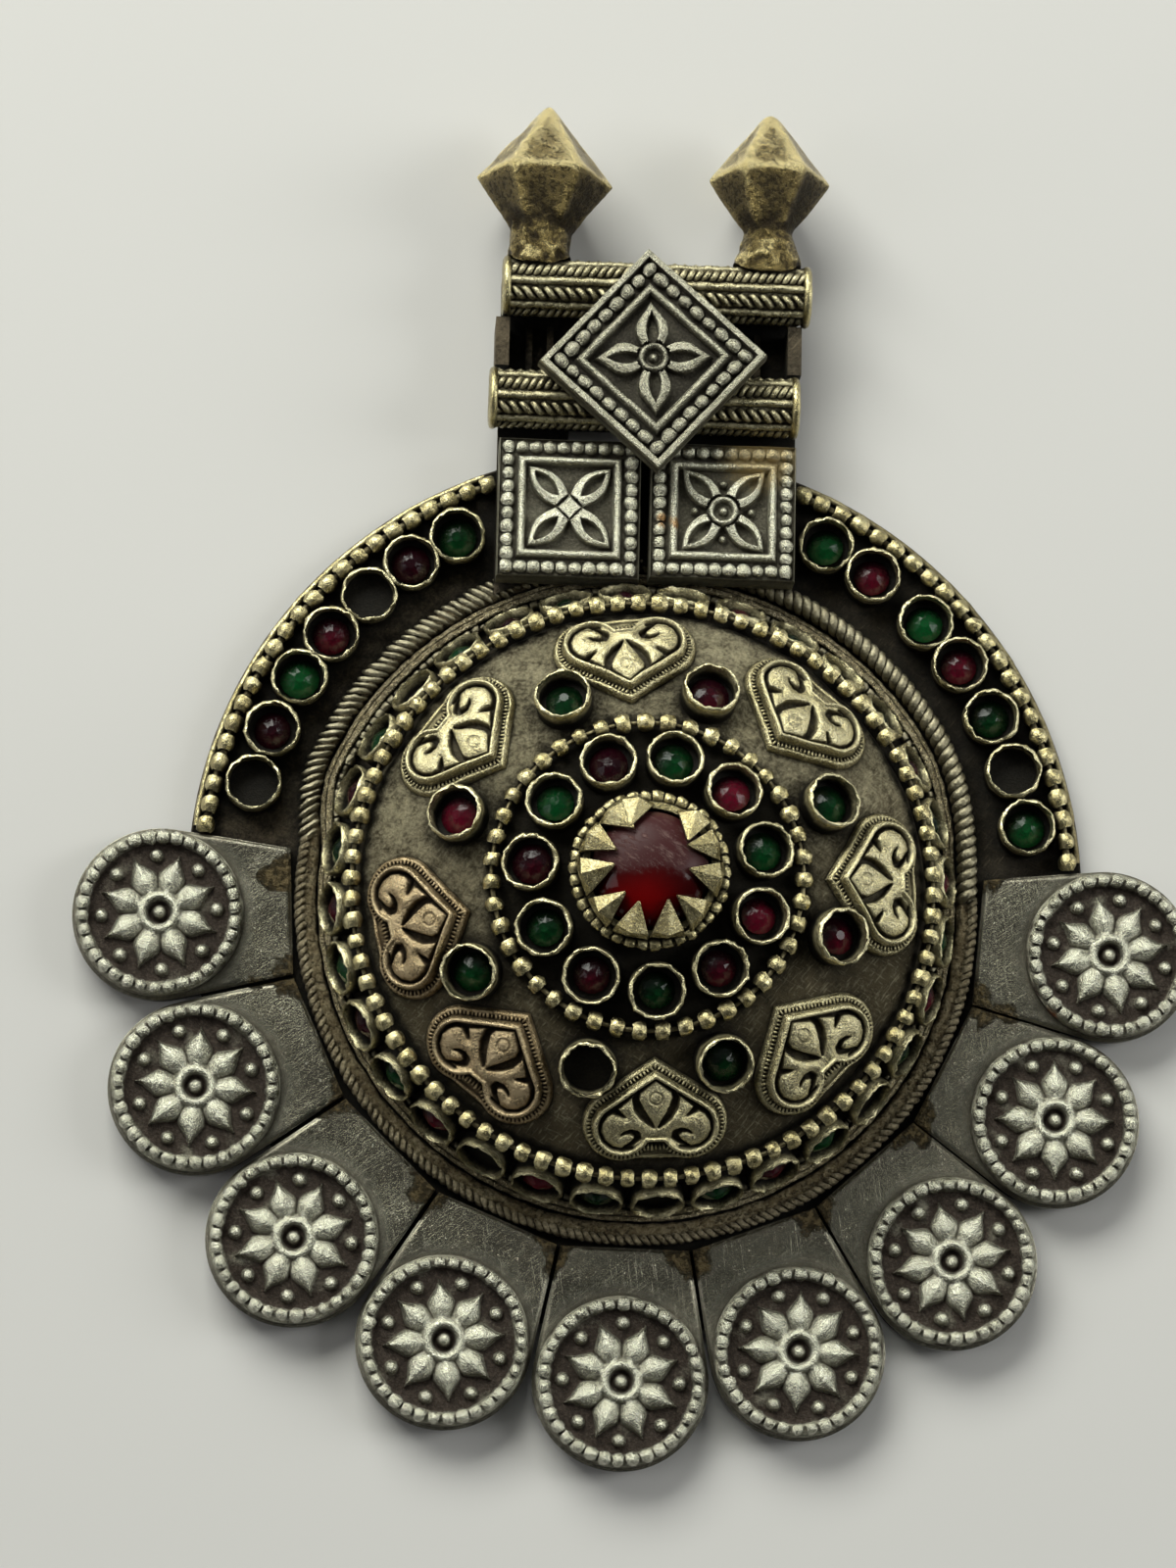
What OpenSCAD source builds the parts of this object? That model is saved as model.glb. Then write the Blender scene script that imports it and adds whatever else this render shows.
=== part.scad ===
// Domed round pendant with glass stones, nine medallion tabs and a hanger of two tubes.
// It lies on its back. +Z points up out of the dome, +Y to the hanger, +X to the right.
// The origin is on the dome's axis, in the plane of the base plate's back face.

/* [Base plate] */
// Radius of the round base plate
plate_r = 27.5; // [27:0.1:28]
// Thickness of the base plate
plate_t = 0.9; // [0.7:0.1:1.2]
// How far the plate's centre lies from the dome's axis, towards the hanger
plate_shift = 1.35; // [1:0.05:1.6]
// Radius of the beaded wire on the plate's rim
rim_wire_r = 0.55; // [0.4:0.05:0.6]

/* [Dome] */
// Radius of the dome's wall where it meets the plate
wall_base_r = 18.25; // [18:0.05:18.25]
// Radius of the wall under the outer beaded ring
wall_top_r = 16.95; // [16.6:0.05:17]
// Height of the wall's top above the back face
wall_top_z = 6.35; // [6:0.05:6.5]
// Height of the crown's apex above the back face
crown_top_z = 12; // [11.5:0.1:12.5]
// Sphere radius of the crown
crown_sphere_r = 30.55; // [29.5:0.05:32]
// Thickness of the dome's sheet
shell_t = 0.6; // [0.4:0.1:1]

/* [Wires] */
// Ring radius of the thick rope around the dome
rope_ring_r = 20.24; // [20.22:0.01:20.3]
// Wire radius of the thick rope
rope_r = 0.74; // [0.6:0.02:0.74]
// Ring radius of the smooth strip inside the rope
strip_ring_r = 19.14; // [19.12:0.01:19.16]
// Width of the smooth strip
strip_w = 0.6; // [0.4:0.05:0.6]
// Ring radius of the fine twisted wire at the wall's foot
fine_ring_r = 18.54; // [18.53:0.01:18.55]
// Wire radius of the fine twisted wire
fine_r = 0.26; // [0.2:0.01:0.26]
// Ring radius of the outer beads
outer_beads_ring_r = 17.45; // [17.4:0.05:17.6]
// Bead radius of the outer ring
outer_bead_r = 0.65; // [0.5:0.05:0.65]
// Ring radius of the inner beads
inner_beads_ring_r = 9.2; // [9.1:0.05:9.3]
// Bead radius of the inner ring
inner_bead_r = 0.56; // [0.5:0.02:0.56]

/* [Collets] */
// Outer radius of a collet on the plate
plate_collet_r = 1.74; // [1.5:0.02:1.76]
// Outer radius of a collet in the crown's circle
crown_collet_r = 1.7; // [1.5:0.02:1.7]
// Outer radius of a collet on the wall
wall_collet_r = 1.62; // [1.4:0.02:1.66]
// Wall thickness of every collet
collet_wall = 0.42; // [0.3:0.02:0.5]
// Height of the collets on the plate and between the hearts
collet_h = 1.5; // [1.2:0.1:1.5]
// Number of collets in the crown's circle
crown_collets_n = 11; // [8:1:11]
// Number of collets on the wall
wall_collets_n = 32; // [16:4:32]
// Upward tilt of the wall's collets, in degrees
wall_collet_tilt = 20; // [14:1:24]

/* [Hearts] */
// Lobe radius of a heart's flange
heart_lobe_r = 2.3; // [2:0.05:2.3]
// Distance of each lobe's centre from the heart's middle line
heart_lobe_y = 2; // [1.8:0.05:2]
// Height of the raised outline above the crown
heart_h = 1.15; // [0.9:0.05:1.2]
// Distance of a heart's middle from the dome's axis
heart_ring_r = 13.35; // [13.2:0.05:13.5]

/* [Centre setting] */
// Outer radius of the setting's drum
drum_r = 4.1; // [3.9:0.05:4.15]
// Radius of the centre stone
centre_stone_r = 3.45; // [3.2:0.05:3.5]

/* [Tabs] */
// Number of tabs
tabs_n = 9; // [9:1:9]
// Angle from one tab to the next, in degrees
tab_pitch = 21.5; // [21.4:0.05:21.6]
// Direction of the middle tab, in degrees
tabs_middle_angle = -90.9; // [-91.5:0.1:-90]
// Distance from the dome's axis to a tab's inner edge
tab_inner = 21.1; // [21.05:0.05:21.4]
// Radius of a tab's round end
tab_end_r = 5.3; // [5:0.05:5.3]
// Thickness of a tab
tab_t = 0.7; // [0.5:0.05:0.8]

/* [Hanger] */
// Half width of the hanger's sheet
strap_half_w = 9.3; // [9:0.1:9.4]
// Thickness of the hanger's sheet
strap_t = 1; // [0.8:0.1:1]
// Outer radius of the two tubes
tube_r = 1.85; // [1.7:0.05:1.88]
// Bore radius of the two tubes
tube_bore_r = 1.1; // [0.8:0.05:1.3]
// Height of the tubes' axes above the back face
tube_z = 3.95; // [3.95:0.05:4.1]
// Distance of the upper tube from the dome's axis
upper_tube_y = 38.2; // [38.1:0.1:38.4]
// Distance of the lower tube from the dome's axis
lower_tube_y = 31; // [30.9:0.1:31.2]
// Side length of the diamond plaque
diamond_side = 10; // [9.5:0.1:10.3]
// Distance of the diamond plaque's middle from the dome's axis
diamond_y = 33; // [32.8:0.1:33.2]

/* [Finials] */
// Corner radius of the left finial's six sided head
finial_left_r = 4.35; // [4:0.05:4.35]
// Corner radius of the right finial's six sided head
finial_right_r = 3.9; // [3.6:0.05:4.1]
// Distance of the finials' tips from the dome's axis
finial_tip_y = 50.2; // [49.5:0.1:51]

/* [Hidden] */
$fn = 64;

// Clearance between a piece and what carries it
seat = 0.02;

// Directions of the collets on the plate, about the plate's centre, and their stones:
// r is red, g is green, e is empty
PLATE_LEFT = [[118.7, "g"], [126.6, "r"], [134.5, "e"], [142.5, "r"], [150.4, "g"], [159, "r"], [167.4, "e"]];
PLATE_RIGHT = [[62.2, "g"], [54, "r"], [43.6, "g"], [35.6, "r"], [26.6, "g"], [18, "e"], [9.5, "g"]];
plate_collet_ring_r = 24.25;

// Directions of the collets between the hearts, and their stones
BETWEEN_HEARTS = [[116, "g"], [72.5, "r"], [24, "g"], [-15.5, "r"], [-66.5, "g"], [-106, "e"],
                  [-150, "g"], [163, "r"]];
between_ring_r = 11.55;

// Directions of the hearts
HEART_ANGLES = [96, 48.5, 1.5, -44, -86.5, -129, -167.5, 143];

// Stones of the crown's circle, clockwise from the first collet
CROWN_STONES = "rgrgrrgrgrg";
crown_ring_r = 6.8;
crown_first_angle = 111.2;
crown_collet_h = 1.35;

// Stones of the wall's collets, anticlockwise from the first one
WALL_STONES = "grgrgrergegrgegrgrgrgegrergrgegr";
wall_first_angle = 173;
wall_collet_z = 3.6;
wall_collet_h = 1.05;
wall_collet_lift = 0.3;

plate_top = plate_t + seat;
collet_floor = 0.25;
stone_gap = 0.03;
crown_sphere_z = crown_top_z - crown_sphere_r;
crown_edge_r = wall_top_r - 0.2;

// Length and raised rim of each tube
tube_l = 19.1;
tube_rim_r = 0.2;
tube_rim_sink = 0.07;
upper_tube_x = 0.3;
lower_tube_x = -0.35;

tab_half_angle = tab_pitch / 2;

// Distance from the dome's axis to each medallion's centre
TAB_REACH = [29.1, 29.1, 29.2, 29.1, 29.1, 28.9, 28.9, 28.6, 29.1];

// Height of the crown's surface at a distance from the axis
function crown_z(r) = crown_sphere_z + sqrt(pow(crown_sphere_r, 2) - pow(r, 2));

// Radius of the dome's wall at a height
function wall_r(z) =
    wall_base_r + (wall_top_r - wall_base_r) * (z - plate_top) / (wall_top_z - plate_top);

// Points of the crown's arc for a sphere radius, from the edge to the axis
function crown_arc(sphere_r, edge_r, steps) =
    [for (i = [0 : steps])
        let (r = edge_r * (1 - i / steps))
        [r, crown_sphere_z + sqrt(pow(sphere_r, 2) - pow(r, 2))]];

// Direction of a tab
function tab_angle(k) = tabs_middle_angle + (k - (tabs_n + 1) / 2) * tab_pitch;

// Places a piece on the crown, its own +Z along the surface's normal and +X outward
module on_crown(r, angle) {
    rotate([0, 0, angle])
        translate([r, 0, crown_z(r)])
            rotate([0, asin(r / crown_sphere_r), 0])
                children();
}

// Places a piece on the wall, its own +Z outward and tilted up
module on_wall(angle) {
    rotate([0, 0, angle])
        translate([wall_r(wall_collet_z), 0, wall_collet_z])
            rotate([0, 90 - wall_collet_tilt, 0])
                translate([0, 0, wall_collet_lift])
                    children();
}

// Places a piece on the plate, at a direction about the plate's centre
module on_plate(angle) {
    translate([0, plate_shift, plate_top])
        rotate([0, 0, angle])
            translate([plate_collet_ring_r, 0, 0])
                children();
}

// A round wire bent to a ring
module wire_ring(ring_r, wire_r) {
    rotate_extrude()
        translate([ring_r, 0])
            circle(r = wire_r);
}

// A thin walled cup that holds a stone
module collet(r, h) {
    difference() {
        cylinder(r = r, h = h);
        translate([0, 0, collet_floor])
            cylinder(r = r - collet_wall, h = h);
    }
}

// A small stone with a bevelled top, seated on a collet's floor
module small_stone(r) {
    girdle = 0.35;
    top_h = 0.7;
    translate([0, 0, collet_floor + seat])
        rotate_extrude()
            polygon([[0, 0], [r, 0], [r, girdle], [r * 0.55, top_h], [0, top_h]]);
}

// Base plate
module base_plate() {
    color("dimgray")
        translate([0, plate_shift, 0])
            cylinder(r = plate_r, h = plate_t);
}

// Beaded wire along the plate's rim between two directions
module rim_wire(from_angle, to_angle) {
    rim_margin = 0.35;
    color("khaki")
        translate([0, plate_shift, plate_top + rim_wire_r])
            rotate([0, 0, from_angle])
                rotate_extrude(angle = to_angle - from_angle)
                    translate([plate_r - rim_margin - rim_wire_r, 0])
                        circle(r = rim_wire_r);
}

// Hollow dome: the leaning wall, a chamfer under the outer beads and the spherical crown
module dome_shell() {
    steps = 12;
    outer = crown_arc(crown_sphere_r, crown_edge_r, steps);
    inner = crown_arc(crown_sphere_r - shell_t, crown_edge_r - shell_t, steps);
    color("darkkhaki")
        rotate_extrude()
            polygon(concat(
                [[wall_base_r - shell_t, plate_top], [wall_base_r, plate_top], [wall_top_r, wall_top_z]],
                outer,
                [for (i = [0 : steps]) inner[steps - i]]
            ));
}

// Thick rope around the dome's foot
module border_rope() {
    color("darkkhaki")
        translate([0, 0, plate_top + rope_r])
            wire_ring(rope_ring_r, rope_r);
}

// Smooth strip inside the rope, with a round top edge
module border_strip() {
    strip_h = 0.7;
    color("khaki")
        translate([0, 0, plate_top])
            rotate_extrude()
                translate([strip_ring_r, 0]) {
                    translate([-strip_w / 2, 0])
                        square([strip_w, strip_h]);
                    translate([0, strip_h])
                        circle(r = strip_w / 2);
                }
}

// Fine twisted wire at the wall's foot
module border_fine_wire() {
    color("darkkhaki")
        translate([0, 0, plate_top + fine_r])
            wire_ring(fine_ring_r, fine_r);
}

// Beaded ring on the wall's top edge
module outer_bead_ring() {
    color("khaki")
        translate([0, 0, wall_top_z + outer_bead_r + 0.1])
            wire_ring(outer_beads_ring_r, outer_bead_r);
}

// Beaded ring around the crown's circle of collets
module inner_bead_ring() {
    lift = sqrt(pow(crown_sphere_r + inner_bead_r + seat, 2) - pow(inner_beads_ring_r, 2));
    color("khaki")
        translate([0, 0, crown_sphere_z + lift])
            wire_ring(inner_beads_ring_r, inner_bead_r);
}

// Heart outline drawn in by an inset, point towards -X
module heart_outline(inset) {
    lobe_x = 1.1;
    tip_x = -3;
    r = heart_lobe_r - inset;
    full_l = norm([lobe_x - tip_x, heart_lobe_y]);
    edge_angle = atan2(heart_lobe_y, lobe_x - tip_x) + asin(heart_lobe_r / full_l);
    tip = tip_x + inset / sin(edge_angle);
    touch = [lobe_x - r * sin(edge_angle), heart_lobe_y + r * cos(edge_angle)];
    polygon([[tip, 0], [touch[0], -touch[1]], [lobe_x, -heart_lobe_y], [lobe_x, heart_lobe_y], touch]);
    translate([lobe_x, heart_lobe_y])
        circle(r = r);
    translate([lobe_x, -heart_lobe_y])
        circle(r = r);
    hull()
        for (side = [-1, 1])
            translate([1.6 - 0.3 * inset, side * 1.1])
                circle(r = 1.65 - 1.1 * inset);
}

// Heart: flange, raised outline and a leaf in the recess, cut where the collets stand
module heart(k) {
    cut_gap = 0.06;
    flange_t = 0.45;
    ridge_inset = 0.65;
    ridge_w = 0.5;
    leaf_h = 0.85;
    neighbours = [for (row = BETWEEN_HEARTS) if (abs(row[0] - HEART_ANGLES[k - 1]) < 30) row[0]];
    color("burlywood")
        difference() {
            on_crown(heart_ring_r, HEART_ANGLES[k - 1])
                translate([0, 0, seat]) {
                    linear_extrude(flange_t)
                        heart_outline(0);
                    linear_extrude(heart_h)
                        difference() {
                            heart_outline(ridge_inset);
                            heart_outline(ridge_inset + ridge_w);
                        }
                    linear_extrude(leaf_h)
                        polygon([[-1.3, 0], [-0.2, 0.8], [1, 0], [-0.2, -0.8]]);
                }
            for (angle = neighbours)
                on_crown(between_ring_r, angle)
                    translate([0, 0, -collet_h])
                        cylinder(r = crown_collet_r + cut_gap, h = 3 * collet_h);
        }
}

// Setting of the centre stone: drum, notched wire and eleven folded claws
module centre_bezel() {
    drum_bottom = crown_z(drum_r - 0.8) + 0.03;
    drum_top = 13.4;
    notched_wire_r = 0.43;
    notched_wire_z = 12.95;
    claws = 12;
    missing_claw_angle = 70;
    claw_w = 1.5;
    claw_out = drum_r - 0.02;
    claw_in = drum_r - 0.45;
    color("gold") {
        translate([0, 0, drum_bottom])
            difference() {
                cylinder(r = drum_r, h = drum_top - drum_bottom);
                translate([0, 0, -1])
                    cylinder(r = centre_stone_r + 0.1, h = drum_top);
            }
        translate([0, 0, notched_wire_z])
            wire_ring(drum_r + 0.28, notched_wire_r);
        for (k = [1 : claws - 1])
            rotate([0, 0, missing_claw_angle + k * 360 / claws])
                translate([0, claw_w / 2, 0])
                    rotate([90, 0, 0])
                        linear_extrude(claw_w)
                            polygon([[claw_in, 12.8], [claw_in, 13.45], [3.2, 14.4], [2.5, 14.85],
                                     [2.45, 15.05], [3.35, 14.8], [claw_out - 0.03, 13.9], [claw_out, 12.8]]);
    }
}

// Round cushion shaped centre stone
module centre_stone() {
    bottom_z = crown_top_z + 0.1;
    r = centre_stone_r;
    color("darkred")
        rotate_extrude()
            polygon([[0, bottom_z], [r - 0.3, bottom_z], [r, bottom_z + 0.4], [r, 13.3], [r - 0.45, 14.2],
                     [r - 1.35, 14.8], [r - 2.6, 15.15], [0, 15.25]]);
}

// Collets on the plate for one side's table
module plate_collets(table) {
    color("khaki")
        for (row = table)
            on_plate(row[0])
                collet(plate_collet_r, collet_h);
}

// Eleven collets around the centre setting
module crown_collets() {
    color("khaki")
        for (k = [0 : crown_collets_n - 1])
            on_crown(crown_ring_r, crown_first_angle - k * 360 / crown_collets_n)
                translate([0, 0, seat])
                    collet(crown_collet_r, crown_collet_h);
}

// Eight collets between the hearts
module heart_collets() {
    color("khaki")
        for (row = BETWEEN_HEARTS)
            on_crown(between_ring_r, row[0])
                translate([0, 0, seat])
                    collet(crown_collet_r, collet_h);
}

// Collets on the wall
module wall_collets() {
    color("khaki")
        for (k = [0 : wall_collets_n - 1])
            on_wall(wall_first_angle + k * 360 / wall_collets_n)
                collet(wall_collet_r, wall_collet_h);
}

// Stones of one colour on the plate
module plate_stones(kind) {
    for (row = concat(PLATE_LEFT, PLATE_RIGHT))
        if (row[1] == kind)
            on_plate(row[0])
                small_stone(plate_collet_r - collet_wall - stone_gap);
}

// Stones of one colour on the crown, around the centre and between the hearts
module crown_stones(kind) {
    r = crown_collet_r - collet_wall - stone_gap;
    for (k = [0 : crown_collets_n - 1])
        if (CROWN_STONES[k] == kind)
            on_crown(crown_ring_r, crown_first_angle - k * 360 / crown_collets_n)
                translate([0, 0, seat])
                    small_stone(r);
    for (row = BETWEEN_HEARTS)
        if (row[1] == kind)
            on_crown(between_ring_r, row[0])
                translate([0, 0, seat])
                    small_stone(r);
}

// Stones of one colour on the wall
module wall_stones(kind) {
    for (k = [0 : wall_collets_n - 1])
        if (WALL_STONES[k] == kind)
            on_wall(wall_first_angle + k * 360 / wall_collets_n)
                small_stone(wall_collet_r - collet_wall - stone_gap);
}

// Flat tab, mitred to its neighbours, with a round end
module tab(k) {
    reach = TAB_REACH[k - 1];
    side_gap = reach * sin(tab_half_angle) - tab_end_r;
    inner_half_w = tab_inner * tan(tab_half_angle) - side_gap / cos(tab_half_angle);
    touch = [reach - tab_end_r * sin(tab_half_angle), tab_end_r * cos(tab_half_angle)];
    color("silver")
        rotate([0, 0, tab_angle(k)])
            translate([0, 0, plate_top])
                linear_extrude(tab_t) {
                    polygon([[tab_inner, -inner_half_w], [touch[0], -touch[1]], [reach, 0], touch,
                             [tab_inner, inner_half_w]]);
                    translate([reach, 0])
                        circle(r = tab_end_r);
                }
}

// Pointed petal in two steps, its length along +X
module petal() {
    inner = 1.3;
    wide_x = 2.1;
    tip = 3.6;
    half_w = 0.72;
    step_h = 0.5;
    ridge_h = 0.8;
    ridge_scale = 0.55;
    linear_extrude(step_h)
        polygon([[inner, 0], [wide_x, half_w], [tip, 0], [wide_x, -half_w]]);
    translate([wide_x * (1 - ridge_scale), 0, 0])
        linear_extrude(ridge_h)
            scale(ridge_scale)
                polygon([[inner, 0], [wide_x, half_w], [tip, 0], [wide_x, -half_w]]);
}

// Medallion: disc, beaded rim, eight petals, a ring with a dot and eight small dots
module medallion(k) {
    disc_r = 5.1;
    disc_t = 0.35;
    rim_ring_r = 4.68;
    rim_r = 0.42;
    ring_r = 1.05;
    ring_wire_r = 0.3;
    petals = 8;
    dot_r = 0.38;
    dot_ring_r = 3.6;
    dot_lift = 0.05;
    sink = 0.1;
    color("silver")
        rotate([0, 0, tab_angle(k)])
            translate([TAB_REACH[k - 1], 0, plate_top + tab_t + seat]) {
                cylinder(r = disc_r, h = disc_t);
                translate([0, 0, disc_t + rim_r - sink])
                    wire_ring(rim_ring_r, rim_r);
                translate([0, 0, disc_t + sink])
                    wire_ring(ring_r, ring_wire_r);
                translate([0, 0, disc_t + dot_lift])
                    sphere(r = dot_r);
                for (j = [0 : petals - 1]) {
                    rotate([0, 0, (j + 0.5) * 360 / petals])
                        translate([0, 0, disc_t - sink])
                            petal();
                    rotate([0, 0, j * 360 / petals])
                        translate([dot_ring_r, 0, disc_t + dot_lift])
                            sphere(r = dot_r);
                }
            }
}

// Hanger's sheet with its slot, side posts and the ribs in the recess between the tubes
module hanger_frame() {
    rope_clearance = 0.15;
    top_y = upper_tube_y + 1;
    slot = [[-4.9, 28.4], [2, 29.9]];
    post_w = 0.85;
    post_h = 2.4;
    recess = [lower_tube_y + tube_r + tube_rim_r, upper_tube_y - tube_r - tube_rim_r];
    posts_x = [-9.65, 8.55];
    ribs_x = [-7.7, -6.4, 6.6];
    rib = [0.4, 0.6];
    color("dimgray") {
        translate([0, 0, plate_top])
            linear_extrude(strap_t)
                difference() {
                    translate([-strap_half_w, 0])
                        square([2 * strap_half_w, top_y]);
                    circle(r = rope_ring_r + rope_r + rope_clearance);
                    translate(slot[0])
                        square(slot[1] - slot[0]);
                }
        for (x = posts_x)
            translate([x, recess[0], plate_top])
                cube([post_w, recess[1] - recess[0], strap_t + post_h]);
        for (x = ribs_x)
            translate([x, recess[0], plate_top])
                cube([rib[0], recess[1] - recess[0], strap_t + rib[1]]);
    }
}

// Hanger tube with a bore along X and a raised rim at each end
module tube(x, y) {
    color("darkkhaki")
        translate([x, y, tube_z])
            rotate([0, 90, 0])
                difference() {
                    union() {
                        cylinder(r = tube_r, h = tube_l, center = true);
                        for (side = [-1, 1])
                            translate([0, 0, side * (tube_l / 2 - tube_rim_r)])
                                wire_ring(tube_r - tube_rim_sink, tube_rim_r);
                    }
                    cylinder(r = tube_bore_r, h = tube_l + 2, center = true);
                }
}

// A square frame
module square_frame(w, l, frame_w) {
    difference() {
        square([w, l], center = true);
        square([w - 2 * frame_w, l - 2 * frame_w], center = true);
    }
}

// Square sheet with a raised outer rim, a raised inner frame and five bosses
module plaque(w, l, t, relief) {
    rim_w = 0.45;
    inner = 0.68;
    frame_w = 0.35;
    boss_r = 0.7;
    petal_ring_r = 0.22 * w;
    sink = 0.1;
    translate([0, 0, t / 2])
        cube([w, l, t], center = true);
    translate([0, 0, t - sink]) {
        linear_extrude(relief + sink)
            square_frame(w, l, rim_w);
        linear_extrude(relief * 0.8 + sink)
            square_frame(w * inner, l * inner, frame_w);
        cylinder(r = boss_r, h = relief * 0.8 + sink);
        for (a = [45 : 90 : 315])
            rotate([0, 0, a])
                translate([petal_ring_r, 0, 0])
                    cylinder(r = boss_r * 0.9, h = relief * 0.6 + sink);
    }
}

// Diamond plaque over the two tubes
module diamond_plaque() {
    sheet_t = 0.9;
    relief = 0.7;
    turn = 48.5;
    color("silver")
        translate([0, diamond_y, tube_z + tube_r + seat])
            rotate([0, 0, turn])
                plaque(diamond_side, diamond_side, sheet_t, relief);
}

// Square plaque with a foot that stands on the hanger's sheet
module square_plaque(x, y, w, l) {
    bottom_z = 2.45;
    sheet_t = 1.75;
    relief = 0.7;
    foot = [5, 5];
    foot_shift = 1;
    strap_top = plate_top + strap_t + seat;
    color("silver") {
        translate([x, y, bottom_z])
            plaque(w, l, sheet_t, relief);
        translate([x - foot[0] / 2, y - foot[1] / 2 + foot_shift, strap_top])
            cube([foot[0], foot[1], bottom_z - strap_top + 0.1]);
    }
}

// Cast finial: a saddle on the upper tube, a waisted stem and a six sided double cone
module finial(x, lean, head_r, foot_r, waist_r, waist_y, widest_y, tip_r) {
    foot_y = upper_tube_y + 1.1;
    color("gold")
        translate([x, 0, tube_z])
            difference() {
                translate([0, foot_y, 0])
                    rotate([-90, 0, -lean]) {
                        rotate_extrude()
                            polygon([[0, 0], [foot_r, 0], [foot_r, 1.4], [waist_r, waist_y - foot_y],
                                     [waist_r, waist_y - foot_y + 0.5], [0, waist_y - foot_y + 0.5]]);
                        rotate_extrude($fn = 6)
                            polygon([[0, waist_y - foot_y], [waist_r + 0.1, waist_y - foot_y],
                                     [head_r, widest_y - foot_y], [tip_r, finial_tip_y - foot_y - tip_r],
                                     [0, finial_tip_y - foot_y]]);
                    }
                translate([0, upper_tube_y, 0])
                    rotate([0, 90, 0])
                        cylinder(r = tube_r + tube_rim_r + seat, h = 2 * foot_r + 2, center = true);
            }
}

base_plate();
rim_wire(111.7, 174.3);  // rim_wire_left
rim_wire(4.2, 68.3);  // rim_wire_right
dome_shell();
border_rope();
border_strip();
border_fine_wire();
outer_bead_ring();
inner_bead_ring();
centre_bezel();
centre_stone();
plate_collets(PLATE_LEFT);  // plate_collets_left
plate_collets(PLATE_RIGHT);  // plate_collets_right
crown_collets();
heart_collets();
wall_collets();
color("darkred") plate_stones("r");  // plate_stones_red
color("darkgreen") plate_stones("g");  // plate_stones_green
color("darkred") crown_stones("r");  // crown_stones_red
color("darkgreen") crown_stones("g");  // crown_stones_green
color("darkred") wall_stones("r");  // wall_stones_red
color("darkgreen") wall_stones("g");  // wall_stones_green
hanger_frame();
tube(upper_tube_x, upper_tube_y);  // upper_tube
tube(lower_tube_x, lower_tube_y);  // lower_tube
diamond_plaque();
square_plaque(-4.85, 24, 8.8, 8.8);  // square_plaque_left
square_plaque(4.65, 24.1, 9, 8.6);  // square_plaque_right
finial(-7.1, 2.5, finial_left_r, 2.05, 1.9, 41.9, 45.1, 0.3);  // finial_left
finial(7.2, 0.5, finial_right_r, 2.1, 1.5, 42.3, 45.6, 0.6);  // finial_right
for (k = [1 : 8]) heart(k);
for (k = [1 : tabs_n]) tab(k);
for (k = [1 : tabs_n]) medallion(k);
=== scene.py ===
"""Worn domed pendant with glass stones, nine rosette tabs and a hanger of two wire wound tubes.

All sizes are in millimetres, in the frame of the solid model. A finished piece is scaled to metres once.
"""
from __future__ import annotations

import logging
import math
import random
from dataclasses import dataclass
from enum import Enum
from typing import Any, Callable, Sequence

import bmesh
import bpy
import numpy as np
from mathutils import Matrix, Vector


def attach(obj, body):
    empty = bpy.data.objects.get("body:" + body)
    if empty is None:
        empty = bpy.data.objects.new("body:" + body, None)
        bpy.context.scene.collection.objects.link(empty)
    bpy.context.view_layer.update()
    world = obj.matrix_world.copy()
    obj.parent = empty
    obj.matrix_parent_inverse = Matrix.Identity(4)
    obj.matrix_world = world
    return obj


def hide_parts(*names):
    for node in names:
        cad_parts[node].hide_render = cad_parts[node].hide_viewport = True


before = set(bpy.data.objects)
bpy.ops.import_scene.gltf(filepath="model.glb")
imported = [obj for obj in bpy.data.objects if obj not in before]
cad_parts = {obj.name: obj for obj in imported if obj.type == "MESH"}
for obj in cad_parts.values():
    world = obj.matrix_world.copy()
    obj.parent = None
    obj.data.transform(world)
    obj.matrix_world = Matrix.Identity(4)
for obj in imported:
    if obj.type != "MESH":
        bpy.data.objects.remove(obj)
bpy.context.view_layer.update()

LOG = logging.getLogger("pendant")
MM = 0.001
Colour = tuple[float, float, float]
Number = "float | Wire"
Curve = tuple[tuple[float, float], ...]
Heights = Callable[[np.ndarray], np.ndarray]


class Slot(Enum):
    """Material slots of the record."""

    GROUND = "dark_ground"
    SILVER = "worn_silver"
    BRASS = "yellow_brass"
    CAST = "cast_brass"
    RED = "red_glass"
    GREEN = "green_glass"


class Kind(Enum):
    """Kinds of input that a growth tree takes."""

    WHOLE = "NodeSocketInt"
    FLOAT = "NodeSocketFloat"
    YES = "NodeSocketBool"
    OBJECT = "NodeSocketObject"
    FINISH = "NodeSocketMaterial"


# Node graphs


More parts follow.
